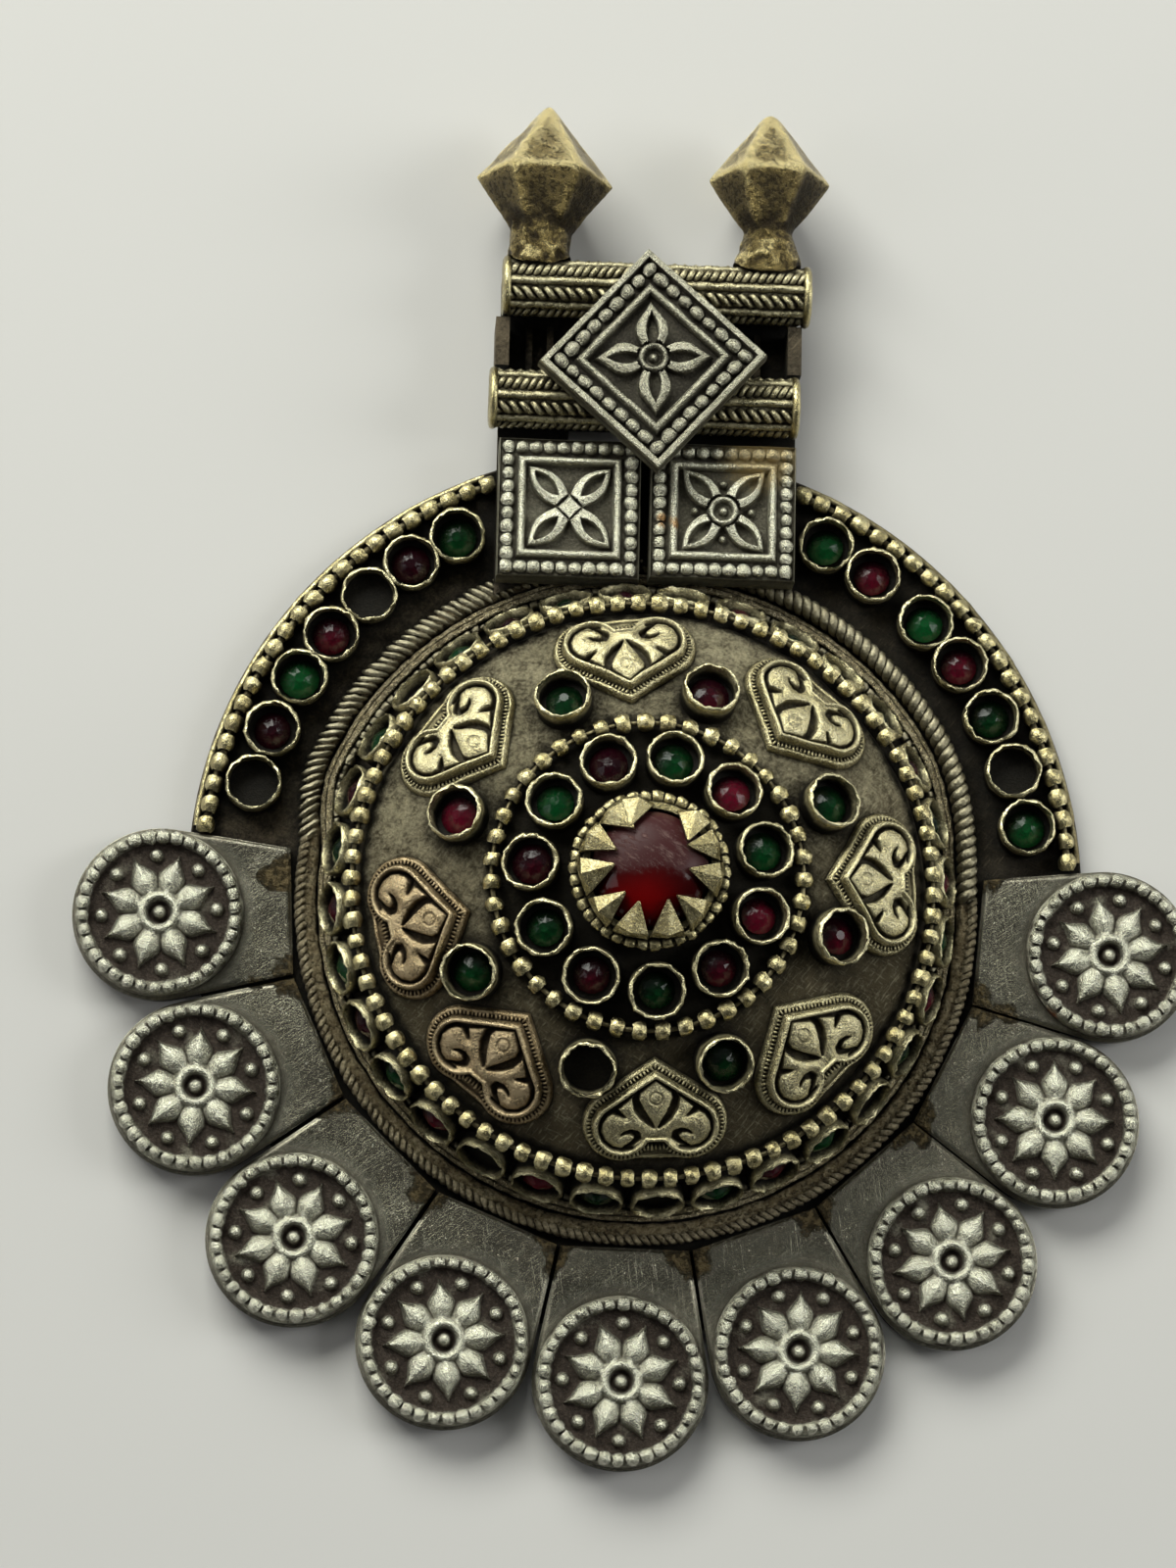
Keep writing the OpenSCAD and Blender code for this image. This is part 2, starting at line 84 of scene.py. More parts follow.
class Wire:
    """An output socket that takes part in Python expressions."""

    def __init__(self, graph: "Graph", socket: bpy.types.NodeSocket) -> None:
        """Keeps the socket and the graph that it is in."""
        self.graph = graph
        self.socket = socket

    def _math(self, operation: str, first: Number, second: Number, clamp: bool = False) -> "Wire":
        """Adds a Math node.

        Args:
            operation: The node's operation.
            first: Its first value.
            second: Its second value.
            clamp: True to keep the result between 0 and 1.

        Returns:
            The node's result.
        """
        settings = {"operation": operation, "use_clamp": clamp}
        return self.graph.node("ShaderNodeMath", settings, {0: first, 1: second}).out(0)

    def __add__(self, other: Number) -> "Wire":
        """self + other."""
        return self._math("ADD", self, other)

    def __radd__(self, other: Number) -> "Wire":
        """other + self."""
        return self._math("ADD", other, self)

    def __sub__(self, other: Number) -> "Wire":
        """self - other."""
        return self._math("SUBTRACT", self, other)

    def __rsub__(self, other: Number) -> "Wire":
        """other - self."""
        return self._math("SUBTRACT", other, self)

    def __mul__(self, other: Number) -> "Wire":
        """self * other."""
        return self._math("MULTIPLY", self, other)

    def __rmul__(self, other: Number) -> "Wire":
        """other * self."""
        return self._math("MULTIPLY", other, self)

    def __truediv__(self, other: Number) -> "Wire":
        """self / other."""
        return self._math("DIVIDE", self, other)

    def cosine(self) -> "Wire":
        """Cosine of the value, in radians."""
        return self._math("COSINE", self, 0.0)

    def sine(self) -> "Wire":
        """Sine of the value, in radians."""
        return self._math("SINE", self, 0.0)

    def angle_to(self, other: "Wire") -> "Wire":
        """Direction of a point, self being its Y and other its X, in radians."""
        return self._math("ARCTAN2", self, other)

    def whole(self) -> "Wire":
        """The next lower whole number."""
        return self._math("FLOOR", self, 0.0)

    def size(self) -> "Wire":
        """The value without its sign."""
        return self._math("ABSOLUTE", self, 0.0)

    def most(self, other: Number) -> "Wire":
        """The larger of the two values."""
        return self._math("MAXIMUM", self, other)

    def held(self) -> "Wire":
        """The value kept between 0 and 1."""
        return self._math("ADD", self, 0.0, clamp=True)

    def rise(self, low: float, high: float) -> "Wire":
        """A smooth step.

        Args:
            low: The value up to which the result is 0.
            high: The value from which the result is 1.

        Returns:
            The step between them.
        """
        settings = {"interpolation_type": "SMOOTHSTEP"}
        return self.graph.node("ShaderNodeMapRange", settings, {0: self, 1: low, 2: high}).out(0)


class Made:
    """A node in a graph."""

    def __init__(self, graph: "Graph", node: bpy.types.Node) -> None:
        """Keeps the node and its graph."""
        self.graph = graph
        self.node = node

    def out(self, key: int | str) -> Wire:
        """The output with that index or name."""
        return Wire(self.graph, self.node.outputs[key])


class Graph:
    """Adds nodes to a node tree."""

    def __init__(self, tree: bpy.types.NodeTree) -> None:
        """Keeps the tree."""
        self.tree = tree

    def node(self, kind: str, settings: dict[str, Any] | None = None,
             inputs: dict[int | str, Any] | None = None) -> Made:
        """Adds a node of any type.

        Args:
            kind: The node's type.
            settings: Its properties, and "stops" for a ramp as (place, colour) pairs.
            inputs: Values or wires by the socket's index or name.

        Returns:
            The node.
        """
        made = self.tree.nodes.new(kind)
        for key, value in (settings or {}).items():
            if key == "stops":
                ramp = made.color_ramp
                ramp.elements.remove(ramp.elements[-1])
                ramp.elements[0].position, ramp.elements[0].color = value[0][0], (*value[0][1], 1)
                for place, colour in value[1:]:
                    ramp.elements.new(place).color = (*colour, 1)
            else:
                setattr(made, key, value)
        for key, value in (inputs or {}).items():
            self.feed(made.inputs[key], value)
        return Made(self, made)

    def feed(self, socket: bpy.types.NodeSocket, value: Any) -> None:
        """Links a wire to a socket, or sets its value.

        Args:
            socket: The input.
            value: A wire to link, or a value to set.
        """
        if isinstance(value, Wire):
            self.tree.links.new(value.socket, socket)
        elif socket.type == "RGBA" and len(value) == 3:
            socket.default_value = (*value, 1)
        else:
            socket.default_value = value

    def vector(self, operation: str, first: Any, second: Any = None, scale: Number | None = None) -> Wire:
        """Adds a Vector Math node.

        Args:
            operation: The node's operation.
            first: The first vector.
            second: The second vector, if the operation takes one.
            scale: The factor of SCALE.

        Returns:
            The resulting vector, or the value for DOT_PRODUCT, LENGTH and DISTANCE.
        """
        inputs = {0: first}
        if second is not None:
            inputs[1] = second
        if scale is not None:
            inputs[3] = scale
        valued = operation in ("DOT_PRODUCT", "LENGTH", "DISTANCE")
        return self.node("ShaderNodeVectorMath", {"operation": operation}, inputs).out(1 if valued else 0)

    def noise(self, where: Wire, scale: float, detail: float = 3.0, rough: float = 0.55) -> Wire:
        """Noise between 0 and 1, with a number of features per millimetre."""
        inputs = {"Vector": where, "Scale": scale, "Detail": detail, "Roughness": rough}
        return self.node("ShaderNodeTexNoise", {}, inputs).out("Fac")

    def mix(self, share: Number, first: Any, second: Any) -> Wire:
        """Mixes two colours by a share of the second one."""
        return self.node("ShaderNodeMix", {"data_type": "RGBA"}, {0: share, 6: first, 7: second}).out(2)


# Finishes


@dataclass(frozen=True)
class Spot:
    """A round stain at a place on the pendant."""

    place: tuple[float, float, float]
    radius: float
    colour: Colour


class FinishGraph(Graph):
    """The graph of a material, with what every finish of the pendant needs."""

    def __init__(self, name: str) -> None:
        """Makes the material and its shader.

        Args:
            name: The material's name.
        """
        self.material = bpy.data.materials.new(name)
        self.material.use_nodes = True
        super().__init__(self.material.node_tree)
        self.tree.nodes.clear()
        self.shader = self.tree.nodes.new("ShaderNodeBsdfPrincipled")
        output = self.tree.nodes.new("ShaderNodeOutputMaterial")
        self.tree.links.new(self.shader.outputs[0], output.inputs[0])

    def place(self) -> Wire:
        """Object coordinates in millimetres."""
        where = self.node("ShaderNodeTexCoord").out("Object")
        return self.vector("SCALE", where, scale=1 / MM)

    def stretched(self, where: Wire, turn: float, scale: tuple[float, float, float]) -> Wire:
        """Turns a pattern about Z and stretches it.

        Args:
            where: The coordinates.
            turn: The turn in degrees.
            scale: The factor along each axis.

        Returns:
            The new coordinates.
        """
        inputs = {"Vector": where, "Rotation": (0, 0, math.radians(turn)),
                  "Scale": tuple(1 / f for f in scale)}
        return self.node("ShaderNodeMapping", {"vector_type": "TEXTURE"}, inputs).out(0)

    def mark(self, name: str) -> Wire:
        """A number that the mesh carries at each vertex."""
        return self.node("ShaderNodeAttribute", {"attribute_name": name}).out("Fac")

    def hollow(self, reach: float, samples: int = 6) -> Wire:
        """How open a point is, from 0 in a recess to 1 on the free surface.

        Args:
            reach: How far away a neighbour still counts, in millimetres.
            samples: Rays for each point.

        Returns:
            The openness.
        """
        return self.node("ShaderNodeAmbientOcclusion", {"samples": samples},
                         {"Distance": reach * MM}).out("AO")

    def spot_mask(self, where: Wire, spot: Spot, edge: Wire) -> Wire:
        """The mask of a stain with a ragged edge."""
        away = self.vector("DISTANCE", where, spot.place)
        return 1.0 - (away + edge * (spot.radius * 1.2)).rise(spot.radius * 0.7, spot.radius * 1.5)

    def bumped(self, height: Wire, depth: float, strength: float = 1.0) -> Wire:
        """A normal from a height.

        Args:
            height: The height, about 0 to 1.
            depth: What a height of 1 stands for, in millimetres.
            strength: How much of it shows.

        Returns:
            The normal.
        """
        inputs = {"Strength": strength, "Distance": depth * MM, "Height": height}
        return self.node("ShaderNodeBump", {}, inputs).out(0)

    def shade(self, values: dict[str, Any]) -> bpy.types.Material:
        """Sets or links the shader's inputs.

        Args:
            values: Values or wires by the input's name.

        Returns:
            The material.
        """
        for key, value in values.items():
            self.feed(self.shader.inputs[key], value)
        return self.material


@dataclass(frozen=True)
class Seams:
    """Solder crust in the corners where neighbouring tabs meet the border."""

    middle: float
    pitch: float
    radius: float
    colour: Colour

    def mask(self, g: FinishGraph, where: Wire, fine: Wire) -> Wire:
        """The crust's mask.

        Args:
            g: The graph.
            where: The coordinates in millimetres.
            fine: A fine noise.

        Returns:
            The mask.
        """
        parts = g.node("ShaderNodeSeparateXYZ", {}, {0: where})
        turn = parts.out(1).angle_to(parts.out(0)) * (180 / math.pi)
        step = (turn - self.middle) / self.pitch + 20.5
        off = (step - step.whole() - 0.5).size() * (self.pitch * self.radius * math.pi / 180)
        to_seam = self.pitch * self.radius * math.pi / 360 - off
        away = g.vector("LENGTH", g.vector("MULTIPLY", where, (1, 1, 0))) - self.radius
        patchy = g.noise(where, 0.35, 2)
        near = to_seam + away.most(0.0) * 0.8 + (fine - 0.5) * 2.2 - (patchy - 0.45) * 7.0
        return 1.0 - near.rise(0.7, 1.5)


@dataclass(frozen=True)
class WornMetal:
    """Metal that is bright where it is worn, with a painted highlight on raised relief, and dark in its
    recesses.
    """

    name: str
    rubbed_and_sheen: Colour
    body: Colour
    grime: Colour
    roughness: float = 0.36
    reach: float = 0.8
    grime_low: float = 0.35
    grime_high: float = 0.9
    rub: float = 0.6
    patch: Colour = (0.12, 0.10, 0.07)
    patch_share: float = 0.35
    pit_depth: float = 0.04
    uneven: float = 1.0
    holes: float = 0.0
    scratch_depth: float = 0.0
    scratch_turn: float = 0.0
    relief: bool = False
    relief_low: float = 0.05
    relief_high: float = 0.4
    crest: float = 0.3
    seams: Seams | None = None
    spots: tuple[Spot, ...] = ()

    def build(self) -> bpy.types.Material:
        """Makes the material.

        Returns:
            The material.
        """
        g = FinishGraph(self.name)
        where = g.place()
        broad = g.noise(where, 0.28, 3)
        middle = g.noise(where, 1.3, 4, 0.6)
        fine = g.noise(where, 5.5, 5, 0.65)
        grain = g.noise(where, 19.0, 3, 0.6)
        uneven = ((middle - 0.5) * 0.55 + (fine - 0.5) * 0.5) * self.uneven
        clean = (g.hollow(self.reach) + uneven).rise(self.grime_low, self.grime_high)
        worn = ((fine - 0.5) * 0.5 + (middle - 0.5) * 0.5 + (broad - 0.5) * 0.3) * self.uneven + 0.6
        raised: Number = 0.45
        if self.relief:
            raised = g.mark("relief")
            clean = clean * (raised + uneven * 0.5).rise(self.relief_low, self.relief_high)
            # Painted highlight, partly real wear: the raised parts of a relief take more of the bright
            # colour.
            worn = worn + (raised - 0.65) * self.crest
        rubbed_and_sheen = clean * worn.rise(0.5, 0.76) * self.rub
        patch = (broad * 0.6 + middle * 0.5).rise(0.52, 0.72) * self.patch_share
        colour = g.mix(patch, self.body, self.patch)
        colour = g.mix(rubbed_and_sheen, colour, self.rubbed_and_sheen)
        height = fine * 0.7 + grain * 0.3 + g.noise(where, 9.0, 3, 0.6).rise(0.35, 0.7) * 0.35 + middle * 0.6
        if self.holes:
            pits = (g.noise(where, 3.2, 4, 0.7) - (raised - 0.45) * 0.16).rise(0.52, 0.61)
            pits = pits.most(g.noise(where, 8.0, 3, 0.6).rise(0.6, 0.68) * 0.7) * self.holes
            clean = clean * (1.0 - pits)
            height = height - pits * 1.6
        if self.scratch_depth:
            lines = g.noise(g.stretched(where, self.scratch_turn, (0.35, 9.0, 1.0)), 1.6, 4, 0.7)
            cross = g.noise(g.stretched(where, self.scratch_turn + 63, (0.3, 7.0, 1.0)), 1.3, 4, 0.7)
            marks = lines.rise(0.6, 0.7) + cross.rise(0.6, 0.7)
            height = height + marks * (self.scratch_depth / self.pit_depth)
            colour = g.mix(marks * 0.2, colour, self.rubbed_and_sheen)
        if self.seams:
            crust = self.seams.mask(g, where, fine)
            lumps = g.noise(where, 2.6, 4, 0.7)
            crusted = g.mix(lumps.rise(0.44, 0.6), tuple(c * 0.22 for c in self.seams.colour),
                            self.seams.colour)
            colour = g.mix(crust * 0.92, colour, crusted)
            height = height + crust * (lumps * 16.0 + fine * 8.0)
            clean = clean * (1.0 - crust * 0.4)
        dirt = g.mix(fine.rise(0.42, 0.66) * 0.8, self.grime, tuple(c * 2.2 for c in self.grime))
        colour = g.mix(1.0 - clean, colour, dirt)
        for spot in self.spots:
            colour = g.mix(g.spot_mask(where, spot, fine - 0.5) * 0.85, colour, spot.colour)
        roughness = (1.0 - clean) * 0.34 + (middle - 0.5) * 0.25 + (fine - 0.5) * 0.2 + self.roughness
        return g.shade({
            "Base Color": colour,
            "Metallic": (clean * 0.75 + 0.25) * (1.0 - patch * 0.4),
            "Roughness": roughness.most(0.15).held(),
            "Specular IOR Level": 0.15,
            "Normal": g.bumped(height, self.pit_depth),
        })


@dataclass(frozen=True)
class Crust:
    """Blackened sheet with brown crust and patches of greyer worn metal, with painted light: that greyer
    colour is laid on more strongly on the side that faces the key light.
    """

    name: str
    bare_and_lit: Colour
    body: Colour
    black: Colour
    lit_from: float
    lit_to: float
    black_ring: float = 0.0
    reach: float = 2.2
    pit_depth: float = 0.12
    lit_toward: tuple[float, float, float] = (-0.25, 0.97, 0.0)

    def build(self) -> bpy.types.Material:
        """Makes the material.

        Returns:
            The material.
        """
        g = FinishGraph(self.name)
        where = g.place()
        broad = g.noise(where, 0.22, 4, 0.6)
        middle = g.noise(where, 1.1, 5, 0.65)
        fine = g.noise(where, 4.5, 5, 0.7)
        grain = g.noise(where, 14.0, 4, 0.7)
        uneven = (middle - 0.5) * 0.6 + (fine - 0.5) * 0.5
        open_air = (g.hollow(self.reach) + uneven).rise(0.45, 1.0)
        # Painted light: the greyer, lighter colour is laid on more strongly along the given direction, the
        # side that faces the key light; its patchy share is real worn metal.
        upward = g.vector("DOT_PRODUCT", where, self.lit_toward) + (broad - 0.5) * 26.0
        patchy = (0.25 + middle).rise(0.5, 0.95) * 0.65 + fine.rise(0.42, 0.62) * 0.45
        bare_and_lit = (upward.rise(self.lit_from, self.lit_to) * open_air * patchy).held()
        colour = g.mix(bare_and_lit, self.body, self.bare_and_lit)
        streak = g.noise(g.stretched(where, 52.0, (0.7, 6.0, 2.0)), 1.3, 4, 0.7).rise(0.54, 0.66)
        other = g.noise(g.stretched(where, -28.0, (0.7, 7.0, 2.0)), 1.5, 4, 0.7)
        streak = streak.most(other.rise(0.56, 0.68))
        colour = g.mix(streak * open_air * 0.55, colour, self.bare_and_lit)
        speckle = (fine * 0.6 + grain * 0.4).rise(0.53, 0.64) * (0.3 + middle).rise(0.5, 1.0)
        colour = g.mix(speckle * 0.7, colour, self.black)
        away = g.vector("LENGTH", g.vector("MULTIPLY", where, (1, 1, 0)))
        deep = (1.0 - (away + (middle - 0.5) * 4.0).rise(self.black_ring - 1.0, self.black_ring + 0.8)) \
            if self.black_ring else 0.0
        colour = g.mix((1.0 - open_air * (1.0 - deep * 0.85)).held(), colour, self.black)
        height = fine * 0.9 + grain * 0.7 + middle * 0.9 - speckle * 0.5 + streak * 0.25
        return g.shade({
            "Base Color": colour,
            "Metallic": bare_and_lit * 0.6 + 0.3,
            "Roughness": ((1.0 - bare_and_lit) * 0.22 + fine * 0.3 + 0.3).held(),
            "Specular IOR Level": 0.2,
            "Normal": g.bumped(height, self.pit_depth),
        })


@dataclass(frozen=True)
class Glass:
    """Small foil backed stone: dark above, lit through its lower side, dulled by dirt."""

    name: str
    deep: Colour
    lit: Colour
    dull: Colour
    radius: float

    def build(self) -> bpy.types.Material:
        """Makes the material.

        Returns:
            The material.
        """
        g = FinishGraph(self.name)
        where = g.place()
        inside = g.node("ShaderNodeAttribute", {"attribute_name": "from_seat"}).out("Vector")
        seat = g.node("ShaderNodeAttribute", {"attribute_name": "seat"}).out("Vector")
        each = g.noise(seat, 1.7, 1)
        lower = g.vector("DOT_PRODUCT", inside, (0.25, -0.95, -0.2)) / self.radius
        rim = g.vector("LENGTH", inside) / self.radius
        fine = g.noise(where, 3.2, 4, 0.6)
        light = (lower * 0.6 - rim * 1.3 + (fine - 0.5) * 0.9 + (each - 0.5) * 2.4).rise(-1.3, 0.35)
        colour = g.mix(light, self.deep, self.lit)
        dirt = (g.noise(where, 6.5, 4, 0.6) + rim * 0.22 + (each - 0.5) * 0.3).rise(0.62, 0.88)
        colour = g.mix(dirt * 0.4, colour, self.dull)
        return g.shade({
            "Base Color": colour,
            "Roughness": (dirt * 0.2 + 0.07).held(),
            "Normal": g.bumped(fine, 0.05, 0.6),
            "Specular IOR Level": 0.22,
            "IOR": 1.5,
        })


@dataclass(frozen=True)
class Cabochon:
    """The large centre stone: dark red with a painted glow of light in its lower part, scuffed and greyed
    over its top.
    """

    name: str
    # The bright red of the painted glow: light through the stone's lower part, painted into its colour.
    clear: Colour
    deep: Colour
    scuffed: Colour
    scratch: Colour

    def build(self) -> bpy.types.Material:
        """Makes the material.

        Returns:
            The material.
        """
        g = FinishGraph(self.name)
        where = g.place()
        wide = g.noise(where, 0.5, 3)
        fine = g.noise(where, 4.5, 5, 0.7)
        up = g.vector("DOT_PRODUCT", where, (0.18, 1.0, 0.0)) + (wide - 0.5) * 2.2 + (fine - 0.5) * 0.5
        scuffed = up.rise(-0.75, 0.1)
        # Painted light: a glow of the bright red around a point in the stone's lower part.
        middle = g.vector("LENGTH", g.vector("SUBTRACT", where, (-0.5, -2.5, 14.4)))
        glow = 1.0 - (middle + (wide - 0.5) * 0.8).rise(0.2, 2.9)
        colour = g.mix(glow, self.deep, self.clear)
        colour = g.mix(scuffed * 0.9, colour, self.scuffed)
        lines = g.noise(g.stretched(where, -33.0, (1.0, 2.6, 1.0)), 1.3, 6, 0.8).rise(0.5, 0.68)
        lines = lines.most(g.noise(where, 7.5, 5, 0.8).rise(0.62, 0.74)) * scuffed
        lines = lines * (1.0 - up.rise(1.0, 3.0) * 0.6)
        colour = g.mix(lines * 0.6, colour, self.scratch)
        return g.shade({
            "Base Color": colour,
            "Roughness": (scuffed * 0.34 + lines * 0.2 + 0.08).held(),
            "Normal": g.bumped(lines + wide * 2.0, 0.03, 0.8),
            "Specular IOR Level": 0.2,
            "IOR": 1.5,
        })


@dataclass(frozen=True)
class Paper:
    """Plain pale floor."""

    name: str
    colour: Colour

    def build(self) -> bpy.types.Material:
        """Makes the material.

        Returns:
            The material.
        """
        g = FinishGraph(self.name)
        tone = g.noise(g.place(), 0.02, 2)
        colour = g.mix(tone * 0.25, self.colour, tuple(c * 0.96 for c in self.colour))
        return g.shade({"Base Color": colour, "Roughness": 0.9})


RUST = (0.20, 0.055, 0.015)
OCHRE = (0.42, 0.22, 0.07)
WARM = (0.42, 0.33, 0.17)
VERDIGRIS = (0.07, 0.16, 0.13)
METALS = {
    # Plate and dome: the first colour after the name is partly painted light, laid on more strongly on the
    # side that faces the key light.
    "plate": Crust("Plate ground", (0.33, 0.265, 0.18), (0.066, 0.053, 0.036), (0.009, 0.0078, 0.006), -12,
                   40, reach=2.6, pit_depth=0.3, lit_toward=(-0.86, 0.5, 0.0)),
    "dome": Crust("Dome skin", (0.80, 0.725, 0.50), (0.142, 0.114, 0.067), (0.013, 0.0105, 0.007), -8, 10,
                  black_ring=9.4, reach=3.4, pit_depth=0.5),
    "wire": WornMetal("Brass wire", (0.92, 0.83, 0.51), (0.43, 0.365, 0.185), (0.014, 0.011, 0.007), 0.17,
                      reach=1.0, grime_low=0.42, grime_high=0.95, patch=(0.14, 0.11, 0.052), patch_share=0.5,
                      pit_depth=0.035),
    "link": WornMetal("Link wire", (0.50, 0.44, 0.26), (0.20, 0.165, 0.09), (0.012, 0.010, 0.006), 0.36,
                      reach=0.9),
    "cup": WornMetal("Brass cup", (0.86, 0.79, 0.52), (0.49, 0.43, 0.245), (0.007, 0.006, 0.0045), 0.2,
                     reach=1.2, grime_high=0.85, patch=(0.16, 0.12, 0.06), relief=True,
                     relief_low=0.35, relief_high=0.85),
    "claw": WornMetal("Brass claws", (0.75, 0.67, 0.40), (0.35, 0.295, 0.15), (0.014, 0.012, 0.008), 0.24,
                      reach=0.9, grime_high=0.85, patch=(0.15, 0.115, 0.055), patch_share=0.5,
                      pit_depth=0.045),
    "rope": WornMetal("Grey wire", (0.58, 0.535, 0.385), (0.26, 0.23, 0.155), (0.018, 0.015, 0.010), 0.34,
                      grime_low=0.38, grime_high=0.92, patch=(0.10, 0.08, 0.048), patch_share=0.7),
    "wound": WornMetal("Wound wire", (0.74, 0.68, 0.45), (0.37, 0.33, 0.205), (0.022, 0.017, 0.011), 0.28,
                       reach=0.6, grime_low=0.3, grime_high=0.85, patch=(0.13, 0.10, 0.055),
                       patch_share=0.6),
    "band": WornMetal("Worn border", (0.56, 0.48, 0.30), (0.20, 0.155, 0.09), (0.020, 0.015, 0.010), 0.34,
                      reach=0.6, grime_low=0.25, grime_high=0.85, patch=(0.08, 0.056, 0.034),
                      patch_share=0.8, pit_depth=0.16, holes=0.7),
    "strip": WornMetal("Worn strip", (0.80, 0.695, 0.47), (0.40, 0.335, 0.205), (0.022, 0.017, 0.011), 0.26,
                       reach=0.5, grime_low=0.25, grime_high=0.85, patch=(0.12, 0.088, 0.052),
                       patch_share=0.6, pit_depth=0.13, holes=0.4),
    "edge": WornMetal("Worn edge", (0.56, 0.485, 0.325), (0.20, 0.165, 0.105), (0.018, 0.014, 0.010), 0.32,
                      reach=0.6, grime_low=0.3, patch=(0.075, 0.055, 0.034), patch_share=0.8, pit_depth=0.1),
    "heart": WornMetal("Pressed brass", (0.77, 0.70, 0.45), (0.40, 0.35, 0.20), (0.022, 0.018, 0.012), 0.24,
                       reach=0.6, rub=0.55, patch=(0.21, 0.17, 0.09), patch_share=0.5, pit_depth=0.05,
                       uneven=0.7, relief=True, relief_low=0.0, relief_high=0.5, crest=0.4,
                       spots=(Spot((-13.4, -3.4, 10.0), 0.9, VERDIGRIS),)),
    "copper": WornMetal("Reddened brass", (0.66, 0.53, 0.335), (0.27, 0.195, 0.105), (0.022, 0.016, 0.010),
                        0.28, reach=0.6, rub=0.55, patch=(0.15, 0.09, 0.052), patch_share=0.6,
                        pit_depth=0.055, uneven=0.7, relief=True, relief_low=0.0, relief_high=0.5, crest=0.4,
                        spots=(Spot((-15.6, 5.0, 9.3), 1.0, RUST),)),
    "rosette": WornMetal("Pressed silver", (0.78, 0.77, 0.645), (0.35, 0.34, 0.265), (0.032, 0.024, 0.019),
                         0.22, patch=(0.15, 0.12, 0.09), patch_share=0.5, pit_depth=0.07, uneven=0.75,
                         relief=True, crest=0.45, spots=(Spot((25.2, -6.4, 1.9), 0.5, RUST),)),
    "plaque": WornMetal("Pressed plaque", (0.78, 0.76, 0.62), (0.42, 0.405, 0.31), (0.055, 0.049, 0.036),
                        0.24, reach=0.7, patch=(0.17, 0.15, 0.105), patch_share=0.45, pit_depth=0.07,
                        uneven=0.65, relief=True, relief_low=-0.1, relief_high=0.6, crest=0.5,
                        spots=(Spot((1.0, 23.4, 4.8), 0.42, OCHRE), Spot((1.9, 23.2, 4.7), 0.34, OCHRE),
                               Spot((6.9, 28.0, 4.6), 2.0, WARM))),
    "diamond": WornMetal("Dark plaque", (0.60, 0.575, 0.455), (0.245, 0.231, 0.17), (0.030, 0.026, 0.020),
                         0.25, reach=0.7, patch_share=0.55, pit_depth=0.08, uneven=0.6,
                         relief=True, relief_low=-0.1, relief_high=0.6, crest=0.5),
    "tab": WornMetal("Flat silver", (0.48, 0.46, 0.38), (0.18, 0.168, 0.132), (0.020, 0.017, 0.012), 0.22,
                     reach=1.8, grime_low=0.25, rub=0.32, patch=(0.10, 0.082, 0.055), patch_share=0.6,
                     pit_depth=0.025, uneven=0.42, scratch_depth=0.012, scratch_turn=35,
                     seams=Seams(-90.9, 21.5, 21.4, (0.33, 0.245, 0.12))),
    "cast": WornMetal("Cast brass", (0.86, 0.72, 0.37), (0.26, 0.198, 0.082), (0.020, 0.014, 0.008), 0.18,
                      reach=2.0, grime_low=0.3, grime_high=0.85, rub=0.85, patch=(0.12, 0.088, 0.04),
                      patch_share=0.7, pit_depth=0.14, uneven=0.8, holes=0.75, relief=True, relief_low=-0.15,
                      relief_high=0.5, crest=0.85),
}
GLASSES = {
    "red": Glass("Red stones", (0.010, 0.001, 0.003), (0.13, 0.003, 0.016), (0.022, 0.014, 0.013), 1.2),
    "green": Glass("Green stones", (0.001, 0.006, 0.002), (0.002, 0.078, 0.017), (0.012, 0.017, 0.011), 1.2),
}
# The first colour is the painted glow of light in the stone's lower part.
CENTRE = Cabochon("Centre stone", (0.135, 0.0005, 0.001), (0.030, 0.0004, 0.0008), (0.046, 0.011, 0.012),
                  (0.24, 0.15, 0.135))
FLOOR = Paper("Pale floor", (0.605, 0.59, 0.582))


class Paints:
    """Builds each finish once, when a piece first asks for it."""

    def __init__(self) -> None:
        """Starts with no finish built."""
        self.made: dict[str, bpy.types.Material] = {}

    def get(self, name: str) -> bpy.types.Material:
        """Builds a finish unless it is built already.

        Args:
            name: The finish's name in the tables above.

        Returns:
            Its material.
        """
        if name not in self.made:
            finish = METALS.get(name) or GLASSES.get(name) or {"centre": CENTRE, "floor": FLOOR}[name]
            self.made[name] = finish.build()
        return self.made[name]


PAINTS = Paints()


# Meshes


class Ripple:
    """Smooth, repeatable unevenness of worn sheet metal."""

    def __init__(self, seed: int, wave: float, height: float, waves: int = 9) -> None:
        """Draws the waves.

        Args:
            seed: Seed of the draw.
            wave: Typical wavelength, in millimetres.
            height: Typical height, in millimetres.
            waves: How many waves are added.
        """
        draw = np.random.default_rng(seed)
        heading = draw.normal(size=(waves, 3))
        heading /= np.linalg.norm(heading, axis=1)[:, None]
        self.along = heading * (2 * math.pi / (wave * draw.uniform(0.6, 1.6, waves)))[:, None]
        self.phase = draw.uniform(0, 2 * math.pi, waves)
        self.height = height * math.sqrt(2 / waves)

    def at(self, points: np.ndarray) -> np.ndarray:
        """Heights at points with two or three coordinates."""
        return self.height * np.sin(points @ self.along[:, :points.shape[1]].T + self.phase).sum(axis=1)


